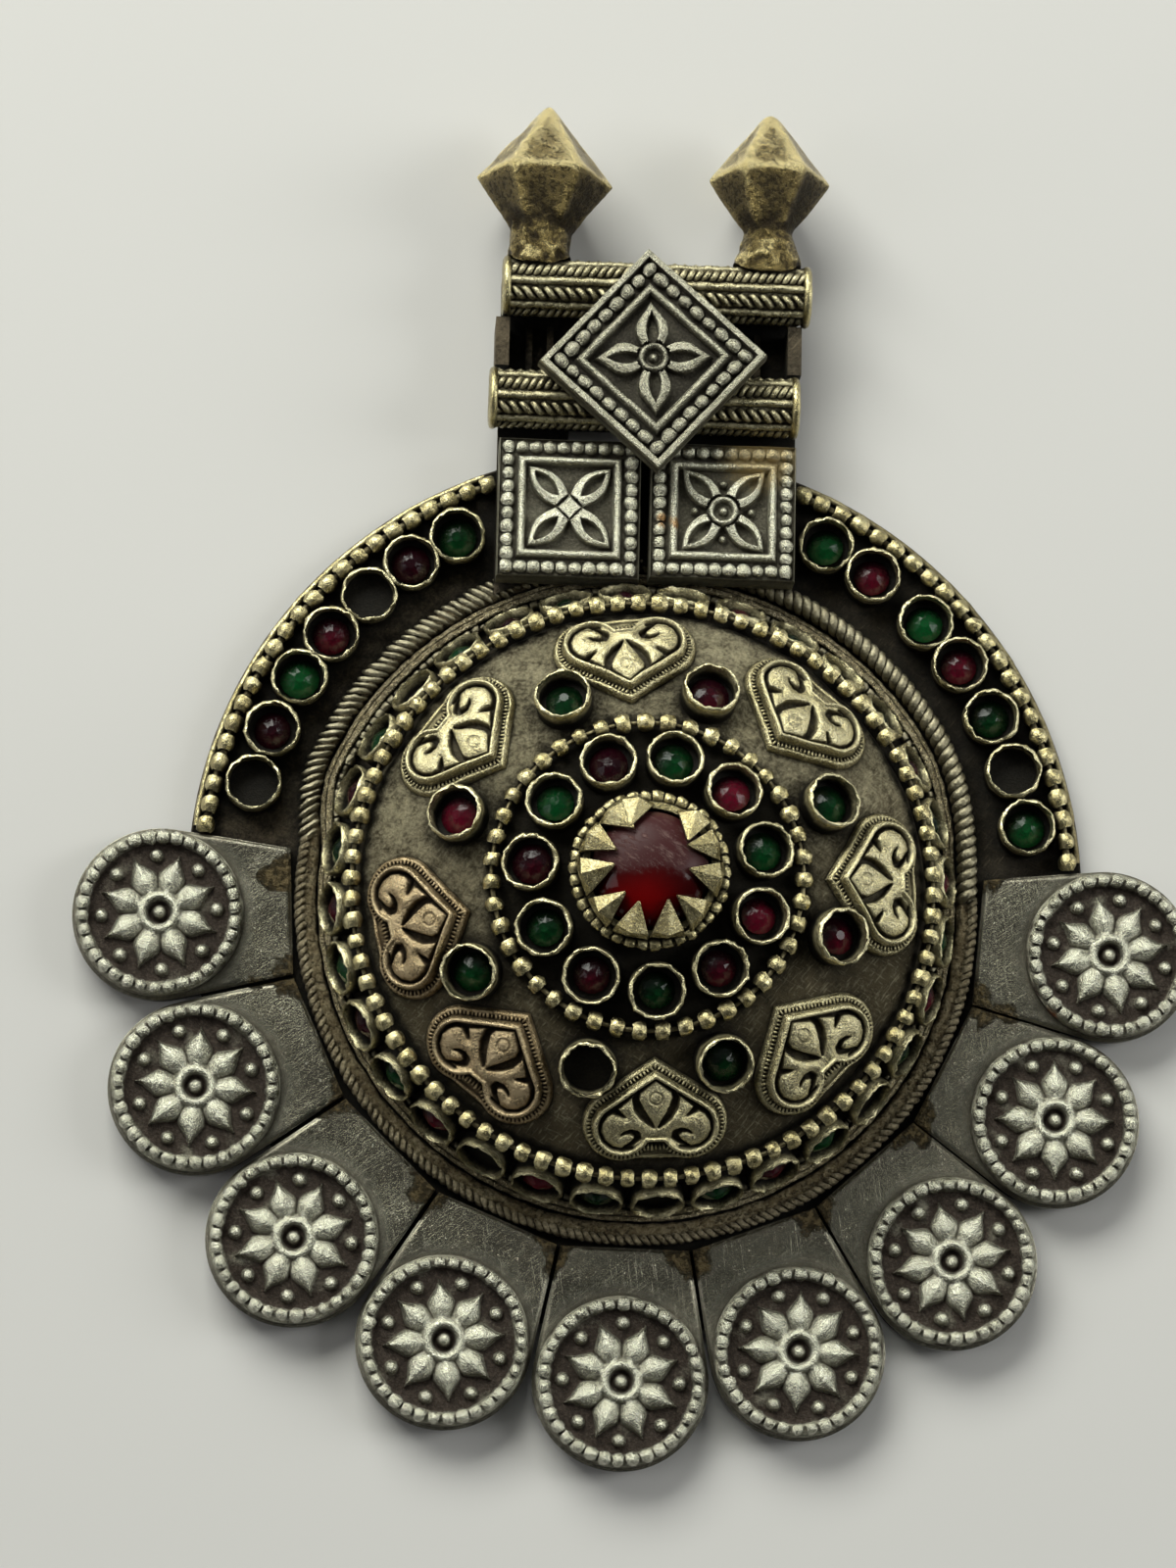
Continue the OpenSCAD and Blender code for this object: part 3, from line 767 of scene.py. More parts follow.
def solid_mesh(name: str, points: np.ndarray, faces: Sequence[Sequence[int]], finish: str,
               sharp: float = 50.0) -> bpy.types.Mesh:
    """Makes a closed mesh with its doubles merged and its faces turned outwards.

    Args:
        name: The mesh's name.
        points: Its vertices, in millimetres.
        faces: Its faces.
        finish: The name of its finish.
        sharp: Edges that turn by more degrees than this stay sharp, and 0 shades every face flat.

    Returns:
        The mesh.
    """
    mesh = bpy.data.meshes.new(name)
    mesh.from_pydata(points.tolist(), [], faces)
    work = bmesh.new()
    work.from_mesh(mesh)
    bmesh.ops.remove_doubles(work, verts=work.verts, dist=1e-5)
    bmesh.ops.recalc_face_normals(work, faces=work.faces)
    work.to_mesh(mesh)
    work.free()
    mesh.materials.append(PAINTS.get(finish))
    mesh.polygons.foreach_set("use_smooth", [sharp > 0] * len(mesh.polygons))
    if sharp > 0:
        mesh.set_sharp_from_angle(angle=math.radians(sharp))
    return mesh


def vertices(mesh: bpy.types.Mesh) -> np.ndarray:
    """Reads a mesh's vertices.

    Args:
        mesh: The mesh.

    Returns:
        One row for each vertex.
    """
    flat = np.empty(len(mesh.vertices) * 3)
    mesh.vertices.foreach_get("co", flat)
    return flat.reshape(-1, 3)


def set_mark(mesh: bpy.types.Mesh, name: str, values: np.ndarray | float) -> None:
    """Stores a number for each vertex, or the same number for all."""
    marks = mesh.attributes.new(name, "FLOAT", "POINT").data
    marks.foreach_set("value", np.full(len(mesh.vertices), values))


def settled(mesh: bpy.types.Mesh, times: int) -> np.ndarray:
    """Moves each vertex to the middle of its neighbours.

    Args:
        mesh: The mesh, which stays as it is.
        times: How often the vertices move.

    Returns:
        The vertices after the last move.
    """
    ends = np.empty(len(mesh.edges) * 2, dtype=np.int32)
    mesh.edges.foreach_get("vertices", ends)
    first, second = ends[0::2], ends[1::2]
    share = np.maximum(np.bincount(ends, minlength=len(mesh.vertices)), 1)[:, None]
    points = vertices(mesh)
    for _ in range(times):
        total = np.zeros_like(points)
        np.add.at(total, first, points[second])
        np.add.at(total, second, points[first])
        points = total / share
    return points


def lathe(name: str, profile: Sequence[tuple[float, float]], segments: int, finish: str, sharp: float = 50.0,
          sway: Callable[[np.ndarray], np.ndarray] | None = None) -> bpy.types.Mesh:
    """Turns a closed profile of radius and height about Z.

    Args:
        name: The mesh's name.
        profile: The profile's points.
        segments: Steps around the axis.
        finish: The name of the finish.
        sharp: As in solid_mesh.
        sway: Moves the vertices, if given.

    Returns:
        The mesh.
    """
    turns = np.linspace(0, 2 * math.pi, segments, endpoint=False)
    outline = np.array(profile, float)
    points = np.stack([np.outer(np.cos(turns), outline[:, 0]), np.outer(np.sin(turns), outline[:, 0]),
                       np.tile(outline[:, 1], (segments, 1))], axis=2).reshape(-1, 3)
    if sway:
        points = sway(points)
    n = len(outline)
    faces = [(a * n + i, b * n + i, b * n + j, a * n + j)
             for a in range(segments) for b in [(a + 1) % segments]
             for i in range(n) for j in [(i + 1) % n]
             if outline[i, 0] > 1e-6 or outline[j, 0] > 1e-6]
    return solid_mesh(name, points, faces, finish, sharp)


def distance_to(points: np.ndarray, path: np.ndarray, closed: bool) -> np.ndarray:
    """Distance of flat points from a polyline.

    Args:
        points: The points, two coordinates each.
        path: The polyline's corners.
        closed: True if its last corner joins the first.

    Returns:
        One distance for each point.
    """
    ends = np.roll(path, -1, axis=0) if closed else path[1:]
    starts = path if closed else path[:-1]
    best = np.full(len(points), np.inf)
    for a, b in zip(starts, ends):
        along = b - a
        share = np.clip(((points - a) @ along) / max(along @ along, 1e-12), 0, 1)
        best = np.minimum(best, np.linalg.norm(points - a - share[:, None] * along, axis=1))
    return best


def is_inside(points: np.ndarray, loop: np.ndarray) -> np.ndarray:
    """Tells which flat points lie inside a closed loop.

    Args:
        points: The points, two coordinates each.
        loop: The loop's corners.

    Returns:
        True for each point that lies inside.
    """
    odd = np.zeros(len(points), bool)
    for a, b in zip(loop, np.roll(loop, -1, axis=0)):
        crosses = (a[1] > points[:, 1]) != (b[1] > points[:, 1])
        if abs(b[1] - a[1]) > 1e-12:
            at = a[0] + (points[:, 1] - a[1]) / (b[1] - a[1]) * (b[0] - a[0])
            odd ^= crosses & (points[:, 0] < at)
    return odd


def bead_line(distance: np.ndarray, half: float, height: float) -> np.ndarray:
    """Height of a rounded ridge at a distance from its middle line."""
    return height * np.sqrt(np.clip(1 - (distance / half) ** 2, 0, 1))


def level(depth: np.ndarray, slope: float, height: float) -> np.ndarray:
    """Height of a raised area that rises over a slope inside its edge."""
    share = np.clip(depth / slope, 0, 1)
    return height * share * share * (3 - 2 * share)


def dense(loop: Sequence[tuple[float, float]], step: float) -> np.ndarray:
    """Adds points to a closed loop where its steps are long.

    Args:
        loop: The loop's corners.
        step: The longest step that may stay.

    Returns:
        The loop's points.
    """
    corners = np.array(loop, float)
    rows = []
    for a, b in zip(corners, np.roll(corners, -1, axis=0)):
        parts = max(1, math.ceil(np.linalg.norm(b - a) / step))
        rows.append(a + (b - a) * (np.arange(parts) / parts)[:, None])
    return np.concatenate(rows)


def with_wear(heights: Heights, wear: Ripple) -> Heights:
    """A relief with one piece's own wear."""
    return lambda points: heights(points) + wear.at(points)


def put(name: str, data: bpy.types.ID) -> bpy.types.Object:
    """Adds an object to the scene.

    Args:
        name: The object's name.
        data: Its mesh, light or camera.

    Returns:
        The object.
    """
    thing = bpy.data.objects.new(name, data)
    bpy.context.collection.objects.link(thing)
    return thing


@dataclass
class Stamping:
    """A pressed sheet with a relief."""

    name: str
    outline: np.ndarray
    heights: Heights
    finish: str
    rings: int = 40
    crowd: float = 1.0
    under: float = 0.0
    ground: float = 0.0
    top: float = 1.0
    middle: tuple[float, float] = (0.0, 0.0)
    drape: float = 0.0
    sharp: float = 60.0
    marks: Heights | None = None

    def mesh(self) -> bpy.types.Mesh:
        """Builds the sheet as rings around its middle, with a side wall and a flat underside.

        Returns:
            The mesh, with its relief stored from 0 on the ground to 1 on top.
        """
        centre = np.array(self.middle)
        n = len(self.outline)
        shares = 1 - (1 - np.arange(1, self.rings + 1) / self.rings) ** self.crowd
        flat = [centre[None, :]] + [centre + (self.outline - centre) * s for s in shares]
        flat = np.concatenate(flat)
        z = self.heights(flat)
        share = (z - self.ground) / (self.top - self.ground)
        relief = self.marks(flat) if self.marks else np.clip(share, 0, 1)
        sag = (flat ** 2).sum(axis=1) * self.drape
        upper = np.column_stack([flat, z - sag])
        lower = np.column_stack([self.outline, np.full(n, self.under) - sag[-n:]])
        points = np.concatenate([upper, lower, [[*centre, self.under]]])
        last = len(points) - 1
        faces: list[tuple[int, ...]] = [(0, 1 + i, 1 + (i + 1) % n) for i in range(n)]
        for ring in range(self.rings):
            a = 1 + ring * n
            faces += [(a + i, a + n + i, a + n + (i + 1) % n, a + (i + 1) % n) for i in range(n)]
        bottom = 1 + self.rings * n
        faces += [(last, bottom + (i + 1) % n, bottom + i) for i in range(n)]
        mesh = solid_mesh(self.name, points, faces, self.finish, self.sharp)
        if len(mesh.vertices) == len(points):
            set_mark(mesh, "relief", np.concatenate([relief, np.full(n + 1, 0.5)]))
        else:
            LOG.warning("%s lost vertices, so its relief is not marked", self.name)
        return mesh


# Growth trees


class GrowthTree(Graph):
    """A Geometry Nodes tree with named inputs, which ends in plain mesh with its material."""

    inputs: dict[str, Kind] = {}

    def __init__(self) -> None:
        """Makes the tree with its inputs and lays its nodes."""
        super().__init__(bpy.data.node_groups.new(type(self).__name__, "GeometryNodeTree"))
        face = self.tree.interface
        face.new_socket(name="Geometry", in_out="INPUT", socket_type="NodeSocketGeometry")
        for name, kind in self.inputs.items():
            face.new_socket(name=name, in_out="INPUT", socket_type=kind.value)
        face.new_socket(name="Geometry", in_out="OUTPUT", socket_type="NodeSocketGeometry")
        self.entry = self.tree.nodes.new("NodeGroupInput")
        self.exit = self.tree.nodes.new("NodeGroupOutput")
        shape = self.lay()
        shape = self.node("GeometryNodeRealizeInstances", {}, {0: shape}).out(0)
        shape = self.settle(shape)
        shape = self.node("GeometryNodeSetShadeSmooth", {}, {0: shape, 2: self.given("Smooth")}).out(0)
        shape = self.node("GeometryNodeSetMaterial", {}, {0: shape, 2: self.given("Finish")}).out(0)
        self.tree.links.new(shape.socket, self.exit.inputs[0])

    def given(self, name: str) -> Wire:
        """The wire of a named input."""
        return Wire(self, self.entry.outputs[name])

    def curve(self) -> Wire:
        """The given path as a curve with upright normals."""
        path = self.node("GeometryNodeMeshToCurve", {}, {0: self.given("Geometry")}).out(0)
        return self.node("GeometryNodeSetCurveNormal", {"mode": "Z_UP"}, {0: path}).out(0)

    def lay(self) -> Wire:
        """Lays the nodes that make the shape."""
        raise NotImplementedError

    def settle(self, shape: Wire) -> Wire:
        """Makes a shape uneven by the inputs Wobble and Wobble scale.

        Args:
            shape: The realised shape.

        Returns:
            The uneven shape.
        """
        where = self.node("GeometryNodeInputPosition").out(0)
        noise = self.node("ShaderNodeTexNoise", {},
                          {"Vector": where, "Scale": self.given("Wobble scale"), "Detail": 2.0})
        centred = self.vector("SUBTRACT", noise.out("Color"), (0.5, 0.5, 0.5))
        offset = self.vector("SCALE", centred, scale=self.given("Wobble") * self.loose())
        return self.node("GeometryNodeSetPosition", {}, {0: shape, 3: offset}).out(0)

    def loose(self) -> Number:
        """How much of the wobble a point takes."""
        return 2.0

    def named(self, name: str, kind: str) -> Wire:
        """A named attribute of the geometry."""
        return self.node("GeometryNodeInputNamedAttribute", {"data_type": kind}, {0: name}).out(0)

    def grow(self, start: bpy.types.Mesh, values: dict[str, Any]) -> bpy.types.Mesh:
        """Runs the tree.

        Args:
            start: The mesh that it starts from.
            values: Its inputs by name. The finish is a material, and a piece to repeat is a mesh.

        Returns:
            The resulting mesh.
        """
        carrier = put("carrier", start)
        spare = [carrier]
        modifier = carrier.modifiers.new("growth", "NODES")
        modifier.node_group = self.tree
        keys = {i.name: i.identifier for i in self.tree.interface.items_tree if i.in_out == "INPUT"}
        for name, value in {"Smooth": True, "Wobble": 0.0, "Wobble scale": 1.0, **values}.items():
            if isinstance(value, bpy.types.Mesh):
                value = put("seed", value)
                spare.append(value)
            modifier[keys[name]] = value
        bpy.context.view_layer.update()
        shaped = carrier.evaluated_get(bpy.context.evaluated_depsgraph_get())
        mesh = bpy.data.meshes.new_from_object(shaped)
        for thing in spare:
            bpy.data.objects.remove(thing)
        return mesh


COMMON = {"Smooth": Kind.YES, "Wobble": Kind.FLOAT, "Wobble scale": Kind.FLOAT, "Finish": Kind.FINISH}


class BeadsAlongPath(GrowthTree):
    """Sets a counted row of one piece along a flat path, its Z axis along the path."""

    inputs = {"Count": Kind.WHOLE, "Piece": Kind.OBJECT, "Spread": Kind.FLOAT, "Seed": Kind.WHOLE, **COMMON}

    def lay(self) -> Wire:
        """Turns the path into points and sets the piece on each.

        Returns:
            The row.
        """
        curve = self.curve()
        points = self.node("GeometryNodeCurveToPoints", {"mode": "COUNT"},
                           {0: curve, 1: self.given("Count")})
        low, high = 1.0 - self.given("Spread"), 1.0 + self.given("Spread")
        size = self.node("FunctionNodeRandomValue", {"data_type": "FLOAT"},
                         {2: low, 3: high, 8: self.given("Seed")})
        piece = self.node("GeometryNodeObjectInfo", {}, {0: self.given("Piece")}).out("Geometry")
        inputs = {0: points.out(0), 2: piece, 5: points.out("Rotation"), 6: size.out(1)}
        return self.node("GeometryNodeInstanceOnPoints", {}, inputs).out(0)


class TwistedWire(GrowthTree):
    """Winds strands around a path."""

    strands = 2
    inputs = {"Offset": Kind.FLOAT, "Radius": Kind.FLOAT, "Turns": Kind.FLOAT, "Sides": Kind.WHOLE, **COMMON}

    def lay(self) -> Wire:
        """Moves a copy of the path for each strand and gives it thickness.

        Returns:
            The strands.
        """
        curve = self.curve()
        normal = self.node("GeometryNodeInputNormal").out(0)
        tangent = self.node("GeometryNodeInputTangent").out(0)
        across = self.vector("CROSS_PRODUCT", tangent, normal)
        share = self.node("GeometryNodeSplineParameter").out("Factor")
        circle = {0: self.given("Sides"), 4: self.given("Radius")}
        profile = self.node("GeometryNodeCurvePrimitiveCircle", {"mode": "RADIUS"}, circle).out(0)
        joined = self.node("GeometryNodeJoinGeometry")
        for strand in range(self.strands):
            turn = share * self.given("Turns") * (2 * math.pi) + strand * 2 * math.pi / self.strands
            side = self.vector("SCALE", normal, scale=turn.cosine() * self.given("Offset"))
            rise = self.vector("SCALE", across, scale=turn.sine() * self.given("Offset"))
            moved = {0: curve, 3: self.vector("ADD", side, rise)}
            path = self.node("GeometryNodeSetPosition", {}, moved).out(0)
            solid = self.node("GeometryNodeCurveToMesh", {}, {0: path, 1: profile, 3: True}).out(0)
            self.tree.links.new(solid.socket, joined.node.inputs[0])
        return joined.out(0)


class PlainWire(TwistedWire):
    """A single wire along a path."""

    strands = 1


class SetPieces(GrowthTree):
    """Sets one piece on each given point, turned and sized by the point's own marks."""

    inputs = {"Piece": Kind.OBJECT, **COMMON}

    def lay(self) -> Wire:
        """Sets the piece and keeps the place of its seat.

        Returns:
            The set pieces.
        """
        piece = self.node("GeometryNodeObjectInfo", {}, {0: self.given("Piece")}).out("Geometry")
        inputs = {0: self.given("Geometry"), 2: piece, 5: self.named("turn", "FLOAT_VECTOR"),
                  6: self.named("size", "FLOAT_VECTOR")}
        placed = self.node("GeometryNodeInstanceOnPoints", {}, inputs).out(0)
        seat = self.node("GeometryNodeInputPosition").out(0)
        return self.keep(placed, "seat", seat, "INSTANCE")

    def keep(self, shape: Wire, name: str, value: Wire, domain: str) -> Wire:
        """Stores a vector attribute."""
        settings = {"data_type": "FLOAT_VECTOR", "domain": domain}
        return self.node("GeometryNodeStoreNamedAttribute", settings, {0: shape, 2: name, 3: value}).out(0)

    def settle(self, shape: Wire) -> Wire:
        """Stores how far each point lies from its piece's seat, then makes the pieces uneven.

        Args:
            shape: The realised pieces.

        Returns:
            The uneven pieces.
        """
        where = self.node("GeometryNodeInputPosition").out(0)
        away = self.vector("SUBTRACT", where, self.named("seat", "FLOAT_VECTOR"))
        return super().settle(self.keep(shape, "from_seat", away, "POINT"))

    def loose(self) -> Number:
        """Only the rim gives way."""
        return self.named("rim", "FLOAT") * 2.0


class Trees:
    """The growth trees, each built once."""

    def __init__(self) -> None:
        """Builds the trees."""
        self.beads = BeadsAlongPath()
        self.twisted = TwistedWire()
        self.plain = PlainWire()
        self.pieces = SetPieces()


TREES = Trees()


def path_mesh(points: np.ndarray, closed: bool) -> bpy.types.Mesh:
    """Makes the path that a growth tree starts from.

    Args:
        points: The path's points.
        closed: True to join its ends.

    Returns:
        A mesh of edges.
    """
    n = len(points)
    edges = [(i, (i + 1) % n) for i in range(n if closed else n - 1)]
    mesh = bpy.data.meshes.new("path")
    mesh.from_pydata(np.asarray(points, float).tolist(), edges, [])
    return mesh


def arc_path(radius: float, z: float, step: float, shift: float = 0.0, start: float = 0.0,
             sweep: float = 360.0) -> tuple[np.ndarray, bool]:
    """Points along a level arc.

    Args:
        radius: The arc's radius.
        z: Its height.
        step: The distance from point to point.
        shift: How far its centre lies towards +Y.
        start: Its first direction, in degrees.
        sweep: Its angle, in degrees.

    Returns:
        The points, and True if the arc is a full circle.
    """
    closed = sweep >= 360
    count = max(8, round(radius * math.radians(sweep) / step))
    turns = np.radians(start + sweep * np.linspace(0, 1, count, endpoint=not closed))
    points = [radius * np.cos(turns), radius * np.sin(turns) + shift, np.full(count, z)]
    return np.column_stack(points), closed


def seats_mesh(seats: Sequence[Matrix]) -> bpy.types.Mesh:
    """Makes the points on which a growth tree sets pieces.

    Args:
        seats: Place, turn and size of each piece.

    Returns:
        A mesh of marked points.
    """
    mesh = bpy.data.meshes.new("seats")
    mesh.from_pydata([tuple(m.translation) for m in seats], [], [])
    turn = mesh.attributes.new("turn", "FLOAT_VECTOR", "POINT")
    turn.data.foreach_set("vector", [v for m in seats for v in m.to_euler()])
    size = mesh.attributes.new("size", "FLOAT_VECTOR", "POINT")
    size.data.foreach_set("vector", [v for m in seats for v in m.to_scale()])
    return mesh


def move_by(x: float, y: float, z: float) -> Matrix:
    """A move in millimetres."""
    return Matrix.Translation((x, y, z))


def spin(degrees: float, axis: str) -> Matrix:
    """A turn about an axis."""
    return Matrix.Rotation(math.radians(degrees), 4, axis)


def moved(mesh: bpy.types.Mesh, where: Matrix) -> bpy.types.Mesh:
    """The mesh after a move."""
    mesh.transform(where)
    return mesh


class Piece:
    """Puts finished pieces into the scene."""

    @staticmethod
    def finish(name: str, parts: Sequence[bpy.types.Mesh], slot: Slot,
               nodes: Sequence[str]) -> bpy.types.Object:
        """Joins the parts, scales them to metres and says which nodes they stand for.

        Args:
            name: The piece's name.
            parts: Its meshes, in millimetres.
            slot: The record's material slot; not used.
            nodes: The solid model's nodes that it stands for.

        Returns:
            The piece.
        """
        work = bmesh.new()
        materials: list[bpy.types.Material] = []
        for part in parts:
            first = len(work.faces)
            work.from_mesh(part)
            work.faces.ensure_lookup_table()
            for face in work.faces[first:]:
                material = part.materials[face.material_index]
                if material not in materials:
                    materials.append(material)
                face.material_index = materials.index(material)
        mesh = bpy.data.meshes.new(name)
        work.to_mesh(mesh)
        work.free()
        for material in materials:
            mesh.materials.append(material)
        mesh.transform(Matrix.Scale(MM, 4))
        piece = put(name, mesh)
        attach(piece, "root")
        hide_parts(*nodes)
        LOG.info("%s: %d faces, for %s", name, len(mesh.polygons), ", ".join(nodes))
        return piece

    @staticmethod
    def dress(node: str, finish: str) -> None:
        """Gives a node of the solid model its material.

        Args:
            node: The node's name.
            finish: The finish's name.
        """
        node_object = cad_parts[node]
        for slot in node_object.material_slots:
            slot.material = PAINTS.get(finish)
        LOG.info("%s: dressed as it is", node)


# The pendant's plan


@dataclass(frozen=True)
class Plan:
    """Sizes and places that several sub-assemblies share."""

    plate_r: float = 27.5
    plate_t: float = 0.9
    shift: float = 1.35
    top: float = 0.92
    wall_base_r: float = 18.25
    wall_top_r: float = 16.95
    wall_top_z: float = 6.35
    crown_top: float = 12.0
    sphere_r: float = 30.55

    def crown_z(self, r: float) -> float:
        """Height of the crown at a radius."""
        return self.crown_top - self.sphere_r + math.sqrt(self.sphere_r ** 2 - r ** 2)

    def wall_r(self, z: float) -> float:
        """Radius of the wall at a height."""
        share = (z - self.top) / (self.wall_top_z - self.top)
        return self.wall_base_r + (self.wall_top_r - self.wall_base_r) * share

    def on_crown(self, r: float, degrees: float, lift: float = 0.0) -> Matrix:
        """Places a piece on the crown, its Z along the surface's normal and its X outwards."""
        tilt = Matrix.Rotation(math.asin(r / self.sphere_r), 4, "Y")
        return spin(degrees, "Z") @ move_by(r, 0, self.crown_z(r)) @ tilt @ move_by(0, 0, lift)

    def on_wall(self, degrees: float, z: float, tilt: float, lift: float) -> Matrix:
        """Places a piece on the wall, its Z outwards and tilted up."""
        lean = spin(90 - tilt, "Y")
        return spin(degrees, "Z") @ move_by(self.wall_r(z), 0, z) @ lean @ move_by(0, 0, lift)

    def on_plate(self, degrees: float, r: float) -> Matrix:
        """Places a piece on the plate, at a direction about the plate's centre."""
        return move_by(0, self.shift, self.top) @ spin(degrees, "Z") @ move_by(r, 0, 0)


PLAN = Plan()


def bead(across: float, up: float, along: float, boxy: float = 3.2, sides: int = 10, rows: int = 4,
         square: float = 2.4) -> bpy.types.Mesh:
    """A barrel shaped bead: X across the row, Y up, Z along it.

    Args:
        across: Half its width.
        up: Half its height.
        along: Half its length along the row.
        boxy: 2 for a round bead, more for a boxier one.
        sides: Steps around.
        rows: Steps along.
        square: 2 for a round cross-section, more for a squarish one.

    Returns:
        The bead.
    """
    places = np.sin(np.linspace(-math.pi / 2, math.pi / 2, rows + 2))
    radii = (1 - np.abs(places) ** boxy) ** (1 / boxy)
    profile = [(float(r) if 0 < i <= rows else 0.0, float(z)) for i, (r, z) in enumerate(zip(radii, places))]
    mesh = lathe("bead", profile, sides, "wire", 180)
    points = vertices(mesh)
    flat = np.maximum(np.hypot(points[:, 0], points[:, 1]), 1e-9)[:, None]
    heading = points[:, :2] / flat
    points[:, :2] *= (np.abs(heading) ** square).sum(axis=1)[:, None] ** (-1 / square)
    mesh.vertices.foreach_set("co", (points * [across, up, along]).ravel())
    return mesh


def bead_row(path: tuple[np.ndarray, bool], count: int, piece: bpy.types.Mesh, finish: str, seed: int,
             spread: float = 0.07, wobble: float = 0.05) -> bpy.types.Mesh:
    """Sets a row of beads along a path.

    Args:
        path: The path's points, and True if it is closed.
        count: How many beads.
        piece: One bead.
        finish: The finish's name.
        seed: Seed of the beads' sizes.
        spread: How much their sizes differ, as a share.
        wobble: How uneven they are.

    Returns:
        The row.
    """
    values = {"Count": count, "Piece": piece, "Spread": spread, "Seed": seed, "Wobble": wobble,
              "Wobble scale": 1.7, "Finish": PAINTS.get(finish)}
    return TREES.beads.grow(path_mesh(*path), values)


def ball_row(ring: float, z: float, count: int, size: float, seed: int) -> list[bpy.types.Mesh]:
    """A closed ring of balls, each on a squarish foot, with the wire that links them.

    Args:
        ring: Radius of the ring.
        z: Height of the balls' middle.
        count: How many balls.
        size: Radius of a ball.
        seed: Seed of the row.

    Returns:
        The balls, the feet and the wire.
    """
    ball = bead(size * 1.13, size * 1.04, size * 0.98, 2.4, rows=5)
    balls = bead_row(arc_path(ring, z, 0.2), count, ball, "wire", seed, 0.09, 0.16)
    foot = bead(size * 0.92, size * 0.7, size * 0.82, 3.0, 8, 4, 2.8)
    feet = bead_row(arc_path(ring + 0.1, z - size * 0.95, 0.2), count, foot, "wire", seed, 0.08, 0.16)
    return [balls, feet, wire(arc_path(ring, z - size * 0.3, 0.4), 0.14, "link")]


def wire(path: tuple[np.ndarray, bool], radius: float, finish: str, turns: float = 0.0, offset: float = 0.0,
         sides: int = 8, wobble: float = 0.04, wobble_scale: float = 1.3) -> bpy.types.Mesh:
    """Lays a plain wire along a path, or with an offset two strands twisted around it.

    Args:
        path: The path's points, and True if it is closed.
        radius: Radius of a strand.
        finish: The finish's name.
        turns: Turns of the strands along the whole path.
        offset: Distance of the strands from the path, or 0 for a single wire.
        sides: Steps around a strand.
        wobble: How uneven it is.
        wobble_scale: Lumps per millimetre.

    Returns:
        The wire.
    """
    tree = TREES.twisted if offset else TREES.plain
    values = {"Offset": offset, "Radius": radius, "Turns": turns, "Sides": sides, "Wobble": wobble,
              "Wobble scale": wobble_scale, "Finish": PAINTS.get(finish)}
    return tree.grow(path_mesh(*path), values)


# Sub-assemblies


@dataclass
class BasePlate:
    """The round plate, and the beaded wire and the lip on its visible rim."""

    wire_r: float = 0.55
    margin: float = 0.35
    lip_in: float = 0.28
    lip_r: float = 0.22
    beads: tuple[tuple[str, float, float, int, str], ...] = (
        ("rim_wire_left", 111.7, 174.3, 23, "wire"), ("rim_wire_right", 4.2, 68.3, 23, "link"))

    def build(self) -> None:
        """Builds the plate, and a row of beads with its core and lip for each arc."""
        edge, r = 0.12, PLAN.plate_r
        bulge = Ripple(3, 9.0, 0.05)
        profile = [(0, 0), (r - edge, 0), (r, edge), (r, PLAN.plate_t - edge), (r - edge, PLAN.plate_t)]
        profile += [(r * s, PLAN.plate_t) for s in (0.97, 0.92, 0.86, 0.8, 0.74, 0.68, 0.6, 0)]

        def sway(points: np.ndarray) -> np.ndarray:
            """Lets the face be a little uneven."""
            lift = np.where(points[:, 2] > 0.5, bulge.at(points) * 0.4, 0)
            return points + np.column_stack([np.zeros((len(points), 2)), np.minimum(lift, 0)])

        plate = moved(lathe("plate", profile, 220, "plate", 40, sway), move_by(0, PLAN.shift, 0))
        Piece.finish("ground_plate", [plate], Slot.GROUND, ["base_plate"])
        for node, start, end, count, lip_finish in self.beads:
            r = PLAN.plate_r - self.margin - self.wire_r
            path = arc_path(r, PLAN.top + self.wire_r, 0.4, PLAN.shift, start, end - start)
            row = bead_row(path, count, bead(0.56, 0.52, 0.56, 2.4, rows=5), "wire", 11, 0.1, 0.2)
            core = wire(arc_path(r, PLAN.top + 0.25, 0.4, PLAN.shift, start, end - start), 0.24, "link")
            lip_path = arc_path(PLAN.plate_r - self.lip_in, PLAN.top + 0.06, 0.4, PLAN.shift,
                                start, end - start)
            lip = wire(lip_path, self.lip_r, lip_finish, wobble=0.12, wobble_scale=0.9)
            Piece.finish(node.replace("wire", "beads"), [row, core, lip], Slot.BRASS, [node])


